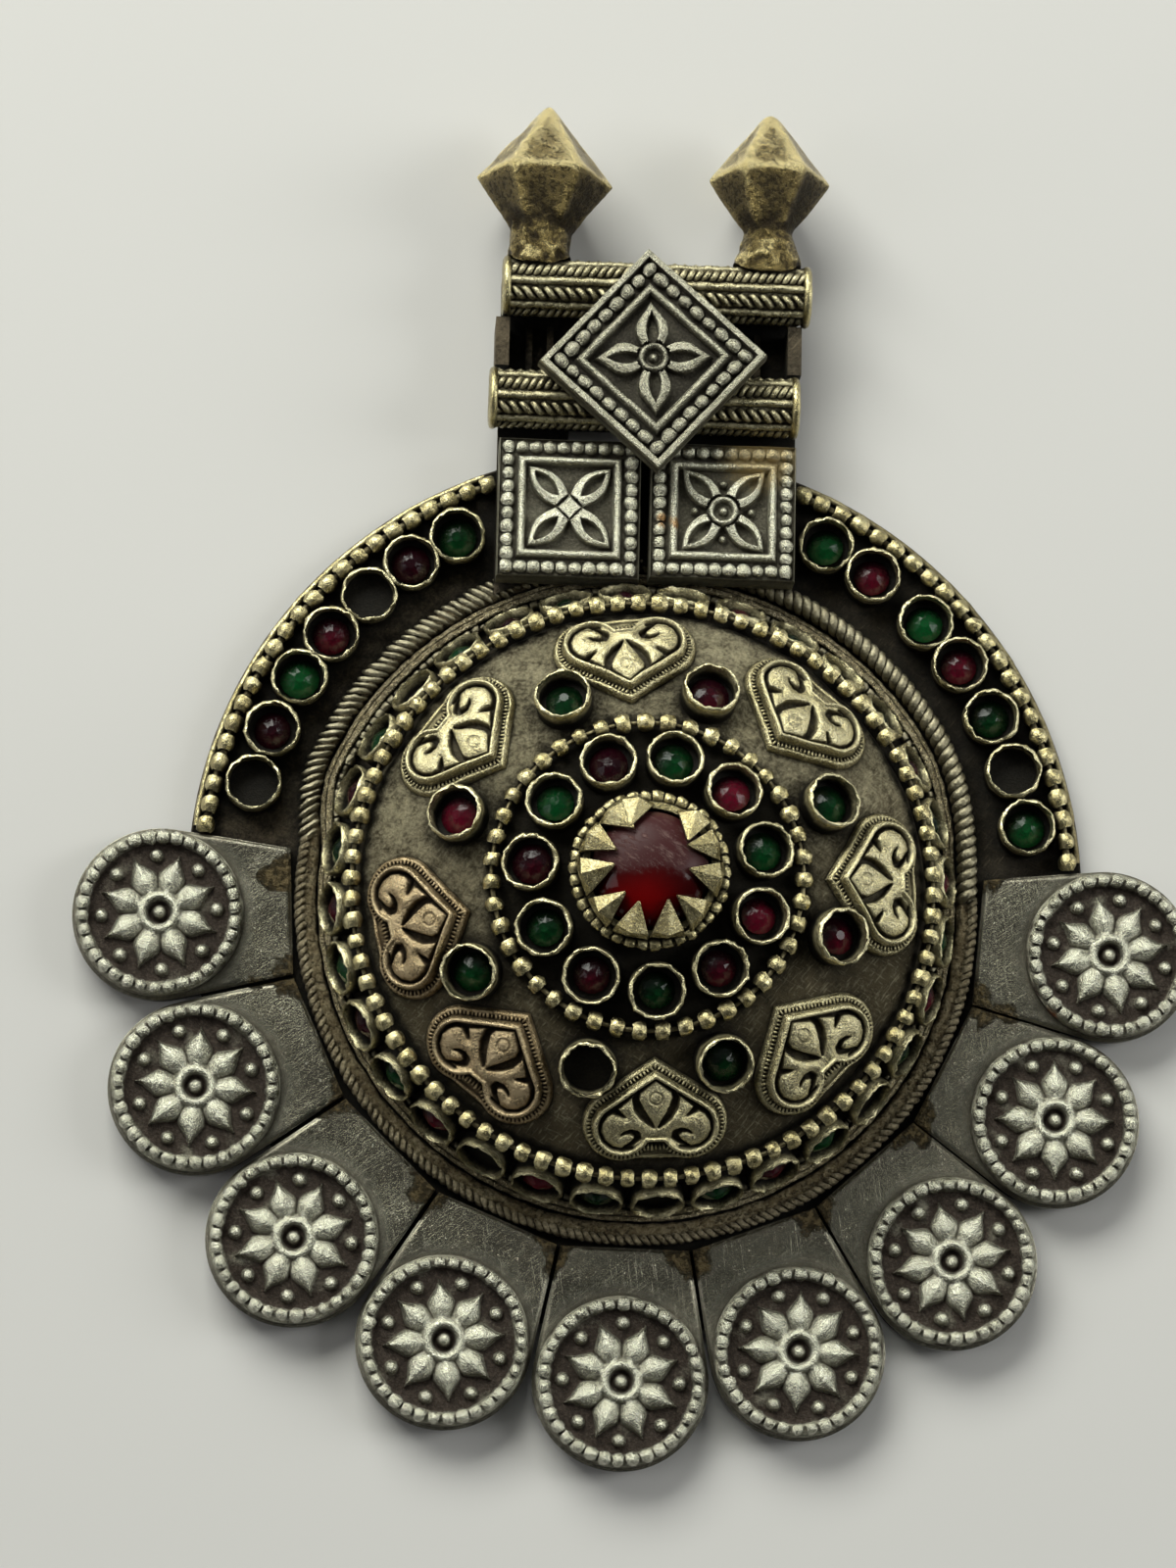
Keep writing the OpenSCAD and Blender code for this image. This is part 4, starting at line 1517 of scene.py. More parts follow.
@dataclass
class Border:
    """Rope, smooth strip and granular wire around the dome's foot."""

    rope_ring: float = 20.24
    strip_ring: float = 19.14
    fine_ring: float = 18.54
    grains: int = 210
    rope_turns: float = 22
    single_from: float = 2.0
    single_to: float = 78.0
    bulge: float = 1.18
    strands_sweep: float = 92
    strand_step: float = 0.48

    def spread(self, path: tuple[np.ndarray, bool]) -> tuple[np.ndarray, bool]:
        """Moves a path outwards on the plate's free upper side, where the border lies wider.

        Args:
            path: The path's points, and True if it is closed.

        Returns:
            The moved path.
        """
        points, closed = path
        turn = np.degrees(np.arctan2(points[:, 1], points[:, 0]))
        share = level(turn + 1, 33, 1) * (1 - level(turn - 157, 18, 1))
        points[:, :2] *= (1 + self.bulge * share / np.hypot(points[:, 0], points[:, 1]))[:, None]
        return points, closed

    def worn_part(self) -> list[bpy.types.Mesh]:
        """Makes the flattened part: a low band with the rope's worn strands along its outer side.

        Returns:
            The band, its strands and its twisted edge.
        """
        start, sweep = self.single_to, 360 - (self.single_to - self.single_from)
        low = arc_path(self.rope_ring - 0.12, PLAN.top + 0.3, 0.3, start=start, sweep=sweep)
        band = wire(self.spread(low), 0.54, "band", sides=12, wobble=0.22, wobble_scale=1.1)
        points = vertices(band)
        points[:, 2] = PLAN.top + 0.3 + (points[:, 2] - PLAN.top - 0.3) * 0.8  # a flattened round
        band.vertices.foreach_set("co", points.ravel())
        strand = bead(0.84, 0.4, 0.2, 2.2, 8)
        strand.transform(spin(-34, "Y"))
        across = self.spread(arc_path(self.rope_ring, PLAN.top + 0.52, 0.3, start=start,
                                      sweep=self.strands_sweep))
        count = round(self.rope_ring * math.radians(self.strands_sweep) / self.strand_step)
        flat = bead_row(across, count, strand, "rope", 7, 0.14, 0.2)
        r, rest = self.rope_ring + 0.34, sweep - self.strands_sweep
        edge = arc_path(r, PLAN.top + 0.5, 0.13, start=start + self.strands_sweep, sweep=rest)
        turns = r * math.radians(rest)
        return [band, flat, wire(edge, 0.22, "edge", turns, 0.18, 6, 0.16, 2.2)]

    def build(self) -> None:
        """Builds the three wires."""
        z = PLAN.top + 0.72
        single = arc_path(self.rope_ring, z, 0.16, start=self.single_from,
                          sweep=self.single_to - self.single_from)
        rope = wire(self.spread(single), 0.33, "rope", self.rope_turns, 0.36, 7)
        Piece.finish("rope_border", [rope, *self.worn_part()], Slot.SILVER, ["border_rope"])
        ridges = [wire(self.spread(arc_path(self.strip_ring + off, PLAN.top + 0.5 + up, 0.3)), r, "strip",
                       wobble=0.14, wobble_scale=1.2)
                  for off, up, r in ((-0.16, 0.1, 0.21), (0.2, 0.0, 0.17))]
        foot = wire(self.spread(arc_path(self.strip_ring, PLAN.top + 0.28, 0.4)), 0.27, "band")
        Piece.finish("smooth_strip", ridges + [foot], Slot.SILVER, ["border_strip"])
        grain = bead(0.29, 0.3, 0.29, 2.2, 6, 3)
        grains = bead_row(self.spread(arc_path(self.fine_ring, PLAN.top + 0.36, 0.3)), self.grains, grain,
                          "rope", 5, 0.3, 0.2)
        core = wire(self.spread(arc_path(self.fine_ring, PLAN.top + 0.2, 0.4)), 0.24, "rope",
                    sides=6, wobble=0.1)
        Piece.finish("granular_wire", [grains, core], Slot.SILVER, ["border_fine_wire"])


@dataclass
class Dome:
    """The hollow dome's skin and its two beaded rings."""

    shell_t: float = 0.6
    outer_ring: float = 17.45
    outer_beads: int = 86
    inner_ring: float = 9.2
    inner_beads: int = 43

    def profile(self) -> list[tuple[float, float]]:
        """The skin's closed profile, outside and inside.

        Returns:
            Radius and height of each point.
        """
        edge_r = PLAN.wall_top_r - 0.2
        walls = [(PLAN.wall_r(z), z) for z in np.linspace(PLAN.top, PLAN.wall_top_z, 9)]
        crown = [(r, PLAN.crown_z(r)) for r in np.linspace(edge_r, 0, 44)]
        inner_edge = edge_r - self.shell_t
        inner = [(r, PLAN.crown_z(r) - self.shell_t) for r in np.linspace(0, inner_edge, 10)]
        return walls + crown + inner + [(PLAN.wall_base_r - self.shell_t, PLAN.top)]

    def build(self) -> None:
        """Builds the skin and the rings."""
        broad, small = Ripple(21, 5.5, 0.05), Ripple(22, 1.8, 0.028, 14)

        def sway(points: np.ndarray) -> np.ndarray:
            """Hammers the sheet.

            Args:
                points: The skin's vertices.

            Returns:
                The dented vertices.
            """
            dent = broad.at(points) + small.at(points)
            away = np.clip((points[:, 2] - PLAN.top) / 0.6, 0, 1)
            centre = np.array([0, 0, PLAN.crown_top - PLAN.sphere_r])
            normal = points - centre
            normal /= np.linalg.norm(normal, axis=1)[:, None]
            return points + normal * (np.minimum(dent, 0.06) * away)[:, None]

        skin = lathe("skin", self.profile(), 260, "dome", 50, sway)
        Piece.finish("dome_skin", [skin], Slot.GROUND, ["dome_shell"])
        outer = ball_row(self.outer_ring, PLAN.wall_top_z + 0.82, self.outer_beads, 0.51, 31)
        Piece.finish("outer_beads", outer, Slot.BRASS, ["outer_bead_ring"])
        inner = ball_row(self.inner_ring, PLAN.crown_z(self.inner_ring) + 0.68, self.inner_beads, 0.5, 32)
        Piece.finish("inner_beads", inner, Slot.BRASS, ["inner_bead_ring"])


@dataclass
class CupRow:
    """A row of thin walled cups."""

    node: str
    radius: float
    height: float
    seats: list[Matrix]
    wall: float = 0.24
    wobble: float = 0.26

    def cup(self) -> bpy.types.Mesh:
        """Makes one cup, with its rim marked.

        Returns:
            The cup.
        """
        r, h, w = self.radius, self.height, self.wall
        profile = [(0, 0), (r, 0), (r, h * 0.5), (r, h * 0.9), (r - w * 0.3, h), (r - w * 0.75, h),
                   (r - w, h * 0.88), (r - w, h * 0.55), (r - w, 0.3), (0, 0.3)]
        mesh = lathe("cup", profile, 40, "cup", 70)
        points = vertices(mesh)
        high = np.where(np.hypot(points[:, 0], points[:, 1]) > r * 0.6, np.clip(points[:, 2] / h, 0, 1), 0)
        set_mark(mesh, "rim", high ** 1.5)
        set_mark(mesh, "relief", high)
        return mesh

    def build(self) -> None:
        """Builds the cups, each a little different."""
        values = {"Piece": self.cup(), "Wobble": self.wobble, "Wobble scale": 2.5,
                  "Finish": PAINTS.get("cup")}
        cups = TREES.pieces.grow(seats_mesh(self.seats), values)
        Piece.finish(self.node.replace("collets", "cups"), [cups], Slot.BRASS, [self.node])


def cut_stone(radius: float, height: float) -> bpy.types.Mesh:
    """Makes a stone with a table, star facets and a girdle, its seat at the origin.

    Args:
        radius: Radius of the girdle.
        height: Height of the table.

    Returns:
        The stone.
    """
    rows = [(1.0, 0.0, 16), (1.0, 0.3, 16), (0.66, 0.68, 8), (0.26, 1.0, 8)]
    points, faces, starts = [], [], []
    for row, (share, z, count) in enumerate(rows):
        starts.append(len(points))
        shift = math.pi / 8 if row == 2 else 0
        points += [(share * radius * math.cos(shift + 2 * math.pi * i / count),
                    share * radius * math.sin(shift + 2 * math.pi * i / count), z * height)
                   for i in range(count)]
    a, b, c, d = starts
    for i in range(16):
        faces.append((a + i, a + (i + 1) % 16, b + (i + 1) % 16, b + i))
    for i in range(8):
        left, mid, right = b + 2 * i, b + 2 * i + 1, b + (2 * i + 2) % 16
        faces += [(left, mid, c + i), (mid, right, c + i), (c + i, right, c + (i + 1) % 8)]
        faces += [(d + i, c + i, d + (i + 1) % 8), (c + i, c + (i + 1) % 8, d + (i + 1) % 8)]
    faces += [tuple(range(d, d + 8)), tuple(reversed(range(a, a + 16)))]
    return solid_mesh("stone", np.array(points), faces, "red", 0)


@dataclass
class Stones:
    """The small stones, sorted by where they sit and by colour."""

    floor: float = 0.27
    height: float = 0.7
    seed: int = 7

    def build(self, group: str, radius: float, red: list[Matrix], green: list[Matrix]) -> None:
        """Sets the stones of one group.

        Args:
            group: The first word of the nodes' names.
            radius: The stones' radius.
            red: Seats of the red stones.
            green: Seats of the green stones.
        """
        draw = random.Random(self.seed)
        for colour, slot, seats in (("red", Slot.RED, red), ("green", Slot.GREEN, green)):
            turned = []
            for seat in seats:
                lean = spin(draw.uniform(-7, 7), "X")
                turn = Matrix.Rotation(draw.uniform(0, math.pi), 4, "Z")
                size = draw.uniform(0.9, 1.0)
                turned.append(seat @ move_by(0, 0, self.floor) @ lean @ turn @ Matrix.Scale(size, 4))
            values = {"Piece": cut_stone(radius, self.height), "Smooth": False, "Finish": PAINTS.get(colour)}
            stones = TREES.pieces.grow(seats_mesh(turned), values)
            Piece.finish(f"{group}_cut_{colour}", [stones], slot, [f"{group}_stones_{colour}"])


@dataclass
class Settings:
    """All cups and small stones, by measured directions."""

    plate_left: tuple[tuple[float, str], ...] = (
        (118.7, "g"), (126.6, "r"), (134.5, "e"), (142.5, "r"), (150.4, "g"), (159, "r"), (167.4, "e"))
    plate_right: tuple[tuple[float, str], ...] = (
        (62.2, "g"), (54, "r"), (43.6, "g"), (35.6, "r"), (26.6, "g"), (18, "e"), (9.5, "g"))
    hearts: tuple[tuple[float, str], ...] = (
        (116, "g"), (72.5, "r"), (24, "g"), (-15.5, "r"), (-66.5, "g"), (-106, "e"), (-150, "g"), (163, "r"))
    crown: str = "rgrgrrgrgrg"
    wall: str = "grgrgrergegrgegrgrgrgegrergrgegr"
    crown_from: float = 111.2
    wall_from: float = 173
    upper_lift: float = 0.6
    upper_lean: float = 9
    upper_stretch: float = 0.15
    plate_ring: float = 24.25
    crown_ring: float = 6.8
    heart_ring: float = 11.55
    wall_z: float = 3.6
    wall_tilt: float = 20.0
    wall_lift: float = 0.3

    def crown_row(self) -> list[tuple[float, str]]:
        """Directions and stones of the cups around the centre."""
        return [(self.crown_from - k * 360 / len(self.crown), kind) for k, kind in enumerate(self.crown)]

    def wall_row(self) -> list[tuple[Matrix, str]]:
        """Sets out the wall's cups, those under the hanger longer and leaning further up.

        Returns:
            The seat and the stone of each cup.
        """
        row = []
        for k, kind in enumerate(self.wall):
            angle = self.wall_from + k * 360 / len(self.wall)
            upper = max(0.0, math.sin(math.radians(angle))) ** 0.7
            z, tilt = self.wall_z + self.upper_lift * upper, self.wall_tilt + self.upper_lean * upper
            seat = PLAN.on_wall(angle, z, tilt, self.wall_lift)
            row.append((seat @ Matrix.Diagonal((1, 1, 1 + self.upper_stretch * upper, 1)), kind))
        return row

    def build(self) -> None:
        """Builds the cups, then their stones."""
        on_wall = self.wall_row()
        on_crown = [(PLAN.on_crown(self.crown_ring, a, 0.02), kind) for a, kind in self.crown_row()]
        by_hearts = [(PLAN.on_crown(self.heart_ring, a, 0.02), kind) for a, kind in self.hearts]
        left = [(PLAN.on_plate(a, self.plate_ring), kind) for a, kind in self.plate_left]
        right = [(PLAN.on_plate(a, self.plate_ring), kind) for a, kind in self.plate_right]
        for row in (CupRow("plate_collets_left", 1.74, 1.5, [s for s, _ in left]),
                    CupRow("plate_collets_right", 1.74, 1.5, [s for s, _ in right]),
                    CupRow("crown_collets", 1.7, 1.35, [s for s, _ in on_crown]),
                    CupRow("heart_collets", 1.7, 1.5, [s for s, _ in by_hearts]),
                    CupRow("wall_collets", 1.62, 1.05, [s for s, _ in on_wall], 0.17, 0.24)):
            row.build()
        stones = Stones()
        for group, radius, seats in (("plate", 1.24, left + right), ("crown", 1.2, on_crown + by_hearts),
                                     ("wall", 1.14, on_wall)):
            stones.build(group, radius, [s for s, k in seats if k == "r"], [s for s, k in seats if k == "g"])


@dataclass
class CentreSetting:
    """Drum, notched wire, folded claws and the large stone."""

    drum_r: float = 4.1
    notches: int = 38
    claw_r: float = 4.0
    claws: tuple[tuple[float, float, float], ...] = (
        (103, -24, 0.9), (127, 14, 0.92), (155, -6, 0.9), (189, 9, 1.02), (222, -8, 0.9), (254, 4, 0.96),
        (285, -12, 0.94), (317, 10, 0.9), (352, -4, 0.94), (22, -10, 0.88), (52, 22, 0.92))

    def claw(self) -> bpy.types.Mesh:
        """Makes one claw, folded over the stone towards the axis, its crease raised.

        Returns:
            The claw.
        """
        spine = [(4.12, 12.9, 1.0), (4.14, 13.75, 1.1), (3.86, 14.3, 0.98), (2.3, 15.16, 0.06)]
        points, faces = [], []
        for step, (r, z, half) in enumerate(spine):
            crease = (0.0, 0.12, 0.3, 0.02)[step]
            back = Vector((0.2, 0, 0.1)) if step < 2 else Vector((0.08, 0, 0.2))
            outer = [Vector((r, -half, z)), Vector((r + crease, 0, z + crease)), Vector((r, half, z))]
            points += outer + [p - back for p in outer]
        for step in range(len(spine) - 1):
            a, b = step * 6, step * 6 + 6
            faces += [(a, a + 1, b + 1, b), (a + 1, a + 2, b + 2, b + 1), (a + 2, a + 5, b + 5, b + 2),
                      (a + 5, a + 4, b + 4, b + 5), (a + 4, a + 3, b + 3, b + 4), (a + 3, a, b, b + 3)]
        last = (len(spine) - 1) * 6
        for a, turn in ((0, 1), (last, -1)):
            faces += [(a, a + 3, a + 4, a + 1)[::turn], (a + 1, a + 4, a + 5, a + 2)[::turn]]
        mesh = solid_mesh("claw", np.array([tuple(p) for p in points]) - [self.claw_r, 0, 0],
                          faces, "claw", 35)
        z = vertices(mesh)[:, 2]
        set_mark(mesh, "rim", np.clip((z - 13.6) / 1.5, 0, 1))
        set_mark(mesh, "relief", 1.0)
        return mesh

    def build(self) -> None:
        """Builds the setting and the stone."""
        drum_bottom = PLAN.crown_z(self.drum_r - 0.8) + 0.03
        drum = lathe("drum", [(3.55, drum_bottom), (self.drum_r, drum_bottom), (self.drum_r + 0.03, 12.4),
                              (self.drum_r, 13.2), (self.drum_r - 0.1, 13.42), (3.62, 13.42)], 72, "wire")
        ring = self.drum_r + 0.28
        notch = bead(0.4, 0.43, 0.36, 2.8, 8, 4, 2.6)
        notches = bead_row(arc_path(ring, 12.95, 0.15), self.notches, notch, "wire", 41, 0.14, 0.2)
        core = wire(arc_path(ring, 12.8, 0.3), 0.25, "link")
        seats = []
        for angle, skew, width in self.claws:
            foot = spin(angle, "Z") @ move_by(self.claw_r, 0, 0) @ spin(skew, "Z")
            seats.append(foot @ Matrix.Diagonal((1, width, 1, 1)))
        values = {"Piece": self.claw(), "Wobble": 0.35, "Wobble scale": 0.5, "Finish": PAINTS.get("claw"),
                  "Smooth": False}
        claws = TREES.pieces.grow(seats_mesh(seats), values)
        Piece.finish("claw_setting", [drum, notches, core, claws], Slot.BRASS, ["centre_bezel"])
        profile = [(0, 12.1), (3.15, 12.1), (3.45, 12.5), (3.45, 13.2), (3.38, 13.6), (3.2, 13.95),
                   (2.9, 14.28), (2.5, 14.58), (2.0, 14.82), (1.4, 15.0), (0.7, 15.12), (0, 15.15)]
        flats = Ripple(51, 3.2, 0.05)

        def sway(points: np.ndarray) -> np.ndarray:
            """Keeps the old, not quite round grinding.

            Args:
                points: The stone's vertices.

            Returns:
                The moved vertices.
            """
            high = np.clip((points[:, 2] - 13.2) / 1.5, 0, 1)
            return points * np.column_stack([1 + flats.at(points) * 0.25 * high] * 2
                                            + [np.ones(len(points))])

        Piece.finish("cabochon", [lathe("cabochon", profile, 72, "centre", 60, sway)], Slot.RED,
                     ["centre_stone"])


@dataclass
class Hearts:
    """The eight pressed hearts on the crown."""

    ring: float = 13.35
    angles: tuple[float, ...] = (96, 48.5, 1.5, -44, -86.5, -129, -167.5, 143)
    reddened: tuple[int, ...] = (6, 7)
    lobe_r: float = 2.3
    lobe_x: float = 1.1
    lobe_y: float = 2.0
    tip_x: float = -3.0
    middle: tuple[float, float] = (0.6, 0.0)
    ridge_inset: float = 0.72
    rib_inset: float = 0.41
    rib_z: float = 0.36
    rib_count: int = 88
    channels: tuple[tuple[tuple[float, float, float], ...], ...] = (
        ((-1.95, 0.0, 0.05), (-1.55, 0.5, 0.07), (-1.15, 1.05, 0.12), (-0.65, 1.2, 0.2), (-0.1, 1.02, 0.27),
         (0.4, 0.7, 0.24), (0.8, 0.36, 0.15), (1.05, 0.13, 0.05)),
        ((-1.0, 1.35, 0.06), (-0.5, 2.05, 0.13), (-0.12, 2.55, 0.22), (0.2, 2.98, 0.13), (0.7, 3.26, 0.08),
         (1.3, 3.33, 0.05), (1.9, 3.08, 0.05), (2.3, 2.6, 0.06), (2.43, 2.0, 0.06), (2.3, 1.4, 0.05)),
        ((-0.12, 2.55, 0.22), (0.15, 2.2, 0.15), (0.38, 1.85, 0.05)),
        ((1.5, 2.1, 0.04), (1.32, 1.85, 0.09), (1.28, 1.5, 0.14), (1.45, 1.16, 0.2), (1.72, 1.1, 0.2),
         (2.0, 1.4, 0.13), (2.2, 1.75, 0.08), (2.36, 2.0, 0.07)))

    def covers(self, points: np.ndarray, inset: float) -> np.ndarray:
        """Tells which flat points lie in the heart drawn in by an inset, its point towards -X.

        Args:
            points: The points, two coordinates each.
            inset: How far the heart is drawn in.

        Returns:
            True for each point that lies in it.
        """
        x, y = points[:, 0], np.abs(points[:, 1])
        r = self.lobe_r - inset
        length = math.hypot(self.lobe_x - self.tip_x, self.lobe_y)
        edge = math.atan2(self.lobe_y, self.lobe_x - self.tip_x) + math.asin(self.lobe_r / length)
        tip = self.tip_x + inset / math.sin(edge)
        flank = (x - tip) * math.sin(edge) - y * math.cos(edge)
        touch = self.lobe_x - r * math.sin(edge)
        wedge = (flank > 0) & (x < self.lobe_x) & ((y < self.lobe_y) | (x < touch))
        lobe = np.hypot(x - self.lobe_x, y - self.lobe_y) < r
        dip = 1.65 - 1.7 * inset
        filled = np.hypot(x - 1.6 + 0.3 * inset, np.maximum(y - 1.1 + 0.6 * inset, 0)) < dip
        return wedge | lobe | filled

    def loop(self, inset: float, count: int) -> np.ndarray:
        """Finds the drawn in heart's outline along rays from its middle.

        Args:
            inset: How far the heart is drawn in.
            count: How many points.

        Returns:
            The loop's points.
        """
        turns = np.linspace(0, 2 * math.pi, count, endpoint=False)
        rays = np.column_stack([np.cos(turns), np.sin(turns)])
        near, far = np.zeros(count), np.full(count, 6.0)
        for _ in range(18):
            half = (near + far) / 2
            within = self.covers(rays * half[:, None] + self.middle, inset)
            near, far = np.where(within, half, near), np.where(within, far, half)
        return rays * near[:, None] + self.middle

    def carved(self, points: np.ndarray) -> np.ndarray:
        """Depth inside the channels around the bud, the leaves and their curls.

        Args:
            points: The points, two coordinates each.

        Returns:
            One depth for each point, negative on the raised parts.
        """
        sides = np.column_stack([points[:, 0], np.abs(points[:, 1])])
        deep = np.full(len(points), -1.0)
        for stroke in self.channels:
            for (x1, y1, w1), (x2, y2, w2) in zip(stroke, stroke[1:]):
                start, along = np.array([x1, y1]), np.array([x2 - x1, y2 - y1])
                share = np.clip(((sides - start) @ along) / (along @ along), 0, 1)
                away = np.linalg.norm(sides - start - share[:, None] * along, axis=1)
                deep = np.maximum(deep, w1 + (w2 - w1) * share - away)
        return deep

    def zones(self, points: np.ndarray) -> tuple[np.ndarray, np.ndarray, np.ndarray]:
        """Tells where points lie between the heart's edge, ridge and panel.

        Args:
            points: The points, two coordinates each.

        Returns:
            Distance from the flange's edge and from the panel's ridge, and True inside that ridge.
        """
        rim, ridge = self.loop(0, 160), self.loop(self.ridge_inset, 160)
        return distance_to(points, rim, True), distance_to(points, ridge, True), is_inside(points, ridge)

    def heights(self, points: np.ndarray) -> np.ndarray:
        """Height of the relief over the crown.

        Args:
            points: The points, two coordinates each.

        Returns:
            One height for each point.
        """
        edge, off, inner = self.zones(points)
        skirt = 0.18 + level(edge, 0.12, 0.12) + bead_line(edge - 0.2, 0.17, 0.14)
        deep = self.carved(points)
        pillow = 0.78 + 0.12 * np.clip(off / 1.6, 0, 1) + 0.16 * np.sqrt(np.clip(-deep / 0.42, 0, 1))
        bud = np.abs(np.linalg.norm(points + [0.75, 0], axis=1) - 0.36)
        panel = pillow - level(deep + 0.04, 0.12, 0.42) - (bud < 0.07) * 0.06
        z = np.where(inner, panel, skirt)
        return np.maximum(z, np.where(off < 0.19, 0.62 + bead_line(off, 0.19, 0.46), 0))

    def marks(self, points: np.ndarray) -> np.ndarray:
        """How far each point is raised out of the dirt, from 0 to 1; raised points also take more of the
        painted highlight.

        Args:
            points: The points, two coordinates each.

        Returns:
            One mark for each point.
        """
        edge, off, inner = self.zones(points)
        outside = np.where(edge < 0.26, 0.72, 0.27)
        mark = np.where(inner, 0.8 - level(self.carved(points) + 0.04, 0.12, 0.68), outside)
        return np.where(off < 0.19, 1.0, mark)

    def build(self) -> None:
        """Builds the hearts, each with its own wear and its milled line."""
        corners = [(x, y, z) for x in (-0.19, 0.19) for y in (-0.13, 0.13) for z in (-0.06, 0.06)]
        faces = [(0, 1, 3, 2), (4, 6, 7, 5), (0, 4, 5, 1), (2, 3, 7, 6), (0, 2, 6, 4), (1, 5, 7, 3)]
        rib = solid_mesh("rib", np.array(corners), faces, "heart", 0)
        drape = 1 / (2 * PLAN.sphere_r)
        for k, angle in enumerate(self.angles, 1):
            finish = "copper" if k in self.reddened else "heart"
            worn = with_wear(self.heights, Ripple(60 + k, 2.2, 0.035))
            sheet = Stamping("heart", self.loop(0, 240), worn, finish, rings=54, under=-0.15,
                             middle=self.middle, drape=drape, marks=self.marks).mesh()
            loop = self.loop(self.rib_inset, 120)
            path = np.column_stack([loop, self.rib_z - (loop ** 2).sum(axis=1) * drape])
            ribs = bead_row((path, True), self.rib_count, rib, finish, 70 + k, 0.2, 0.06)
            set_mark(ribs, "relief", 0.7)
            where = PLAN.on_crown(self.ring, angle, 0.02)
            Piece.finish(f"pressed_heart_{k}", [moved(sheet, where), moved(ribs, where)], Slot.BRASS,
                         [f"heart_{k}"])


@dataclass
class Tabs:
    """The nine flat tabs and their rosettes."""

    pitch: float = 21.5
    middle: float = -90.9
    inner: float = 21.1
    end_r: float = 5.3
    thick: float = 0.7
    reach: tuple[float, ...] = (29.1, 29.1, 29.2, 29.1, 29.1, 28.9, 28.9, 28.6, 29.1)
    turns: tuple[float, ...] = (1.5, -6, -5, 6, 0, 0, -7, 4, -6)
    disc_r: float = 5.1
    petals: int = 8
    rim_r: float = 4.62
    rim_beads: int = 34

    def outline(self, reach: float) -> np.ndarray:
        """The tab's outline, its axis along +X.

        Args:
            reach: Distance of the rosette from the dome's axis.

        Returns:
            The outline's points.
        """
        half = math.radians(self.pitch / 2)
        gap = reach * math.sin(half) - self.end_r
        inner_half = self.inner * math.tan(half) - gap / math.cos(half)
        sweep = np.linspace(-math.pi / 2 - half, math.pi / 2 + half, 40)
        arc = [(reach + self.end_r * math.cos(t), self.end_r * math.sin(t)) for t in sweep]
        return dense([(self.inner, -inner_half)] + arc + [(self.inner, inner_half)], 0.35)

    def rosette_heights(self, points: np.ndarray) -> np.ndarray:
        """Height of the rosette's relief over its underside.

        Args:
            points: The points, two coordinates each.

        Returns:
            One height for each point.
        """
        r = np.linalg.norm(points, axis=1)
        turn = np.arctan2(points[:, 1], points[:, 0])
        step = 2 * math.pi / self.petals
        off = (turn % step) - step / 2
        along, across = r * np.cos(off), np.abs(r * np.sin(off))
        half = np.interp(along, [1.15, 1.5, 1.95, 2.35, 2.75, 3.15, 3.65],
                         [0.56, 0.74, 0.86, 0.84, 0.56, 0.24, 0.0])
        half = np.where(along < 1.15, 0, half)
        share = np.clip(1 - across / np.maximum(half, 1e-3), 0, 1)
        peak = np.interp(along, [1.25, 1.9, 2.4, 3.65], [0.42, 0.68, 0.66, 0.3])
        z = 0.3 + np.where(half > 0, peak * np.sqrt(np.clip(share * 1.15, 0, 1)), 0)
        z = np.maximum(z, 0.3 + bead_line(np.abs(r - 1.02), 0.36, 0.6))
        z = np.maximum(z, 0.3 + bead_line(r, 0.46, 0.52))
        near = turn - np.round(turn / step) * step
        dots = np.hypot(r * np.cos(near) - 3.5, r * np.sin(near))
        z = np.maximum(z, 0.3 + bead_line(dots, 0.42, 0.5))
        return np.maximum(z, 0.3 + level(r - 4.15, 0.3, 0.25) - level(r - 4.85, 0.25, 0.15))

    def build(self) -> None:
        """Builds the tabs and the rosettes."""
        circle = [(self.disc_r * math.cos(t), self.disc_r * math.sin(t))
                  for t in np.linspace(0, 2 * math.pi, 240, endpoint=False)]
        for k, (reach, turn) in enumerate(zip(self.reach, self.turns), 1):
            angle = self.middle + (k - 5) * self.pitch
            outline = self.outline(reach)
            uneven = Ripple(80 + k, 6.0, 0.045)

            def flat(points: np.ndarray) -> np.ndarray:
                """The tab's face with its bevelled edge."""
                edge = distance_to(points, outline, True)
                dents = np.minimum(uneven.at(points), 0.04)
                return self.thick - 0.16 + level(edge + 1e-4, 0.2, 0.16) + dents

            tab = Stamping("tab", outline, flat, "tab", rings=16, crowd=2.2, middle=(reach - 3.0, 0),
                           top=self.thick).mesh()
            Piece.finish(f"flat_tab_{k}", [moved(tab, spin(angle, "Z") @ move_by(0, 0, PLAN.top))],
                         Slot.SILVER, [f"tab_{k}"])
            worn = with_wear(self.rosette_heights, Ripple(90 + k, 1.9, 0.035))
            face = Stamping("rosette", np.array(circle), worn, "rosette", rings=50, ground=0.3,
                            top=0.8).mesh()
            ball = bead(0.42, 0.44, 0.42, 2.0, 10, 4, 2.1)
            rim = bead_row(arc_path(self.rim_r, 0.6, 0.2), self.rim_beads, ball, "rosette",
                           100 + k, 0.12, 0.16)
            set_mark(rim, "relief", 0.8)
            where = spin(angle, "Z") @ move_by(reach, 0, PLAN.top + self.thick + 0.02) @ spin(turn, "Z")
            Piece.finish(f"rosette_{k}", [moved(face, where), moved(rim, where)], Slot.SILVER,
                         [f"medallion_{k}"])


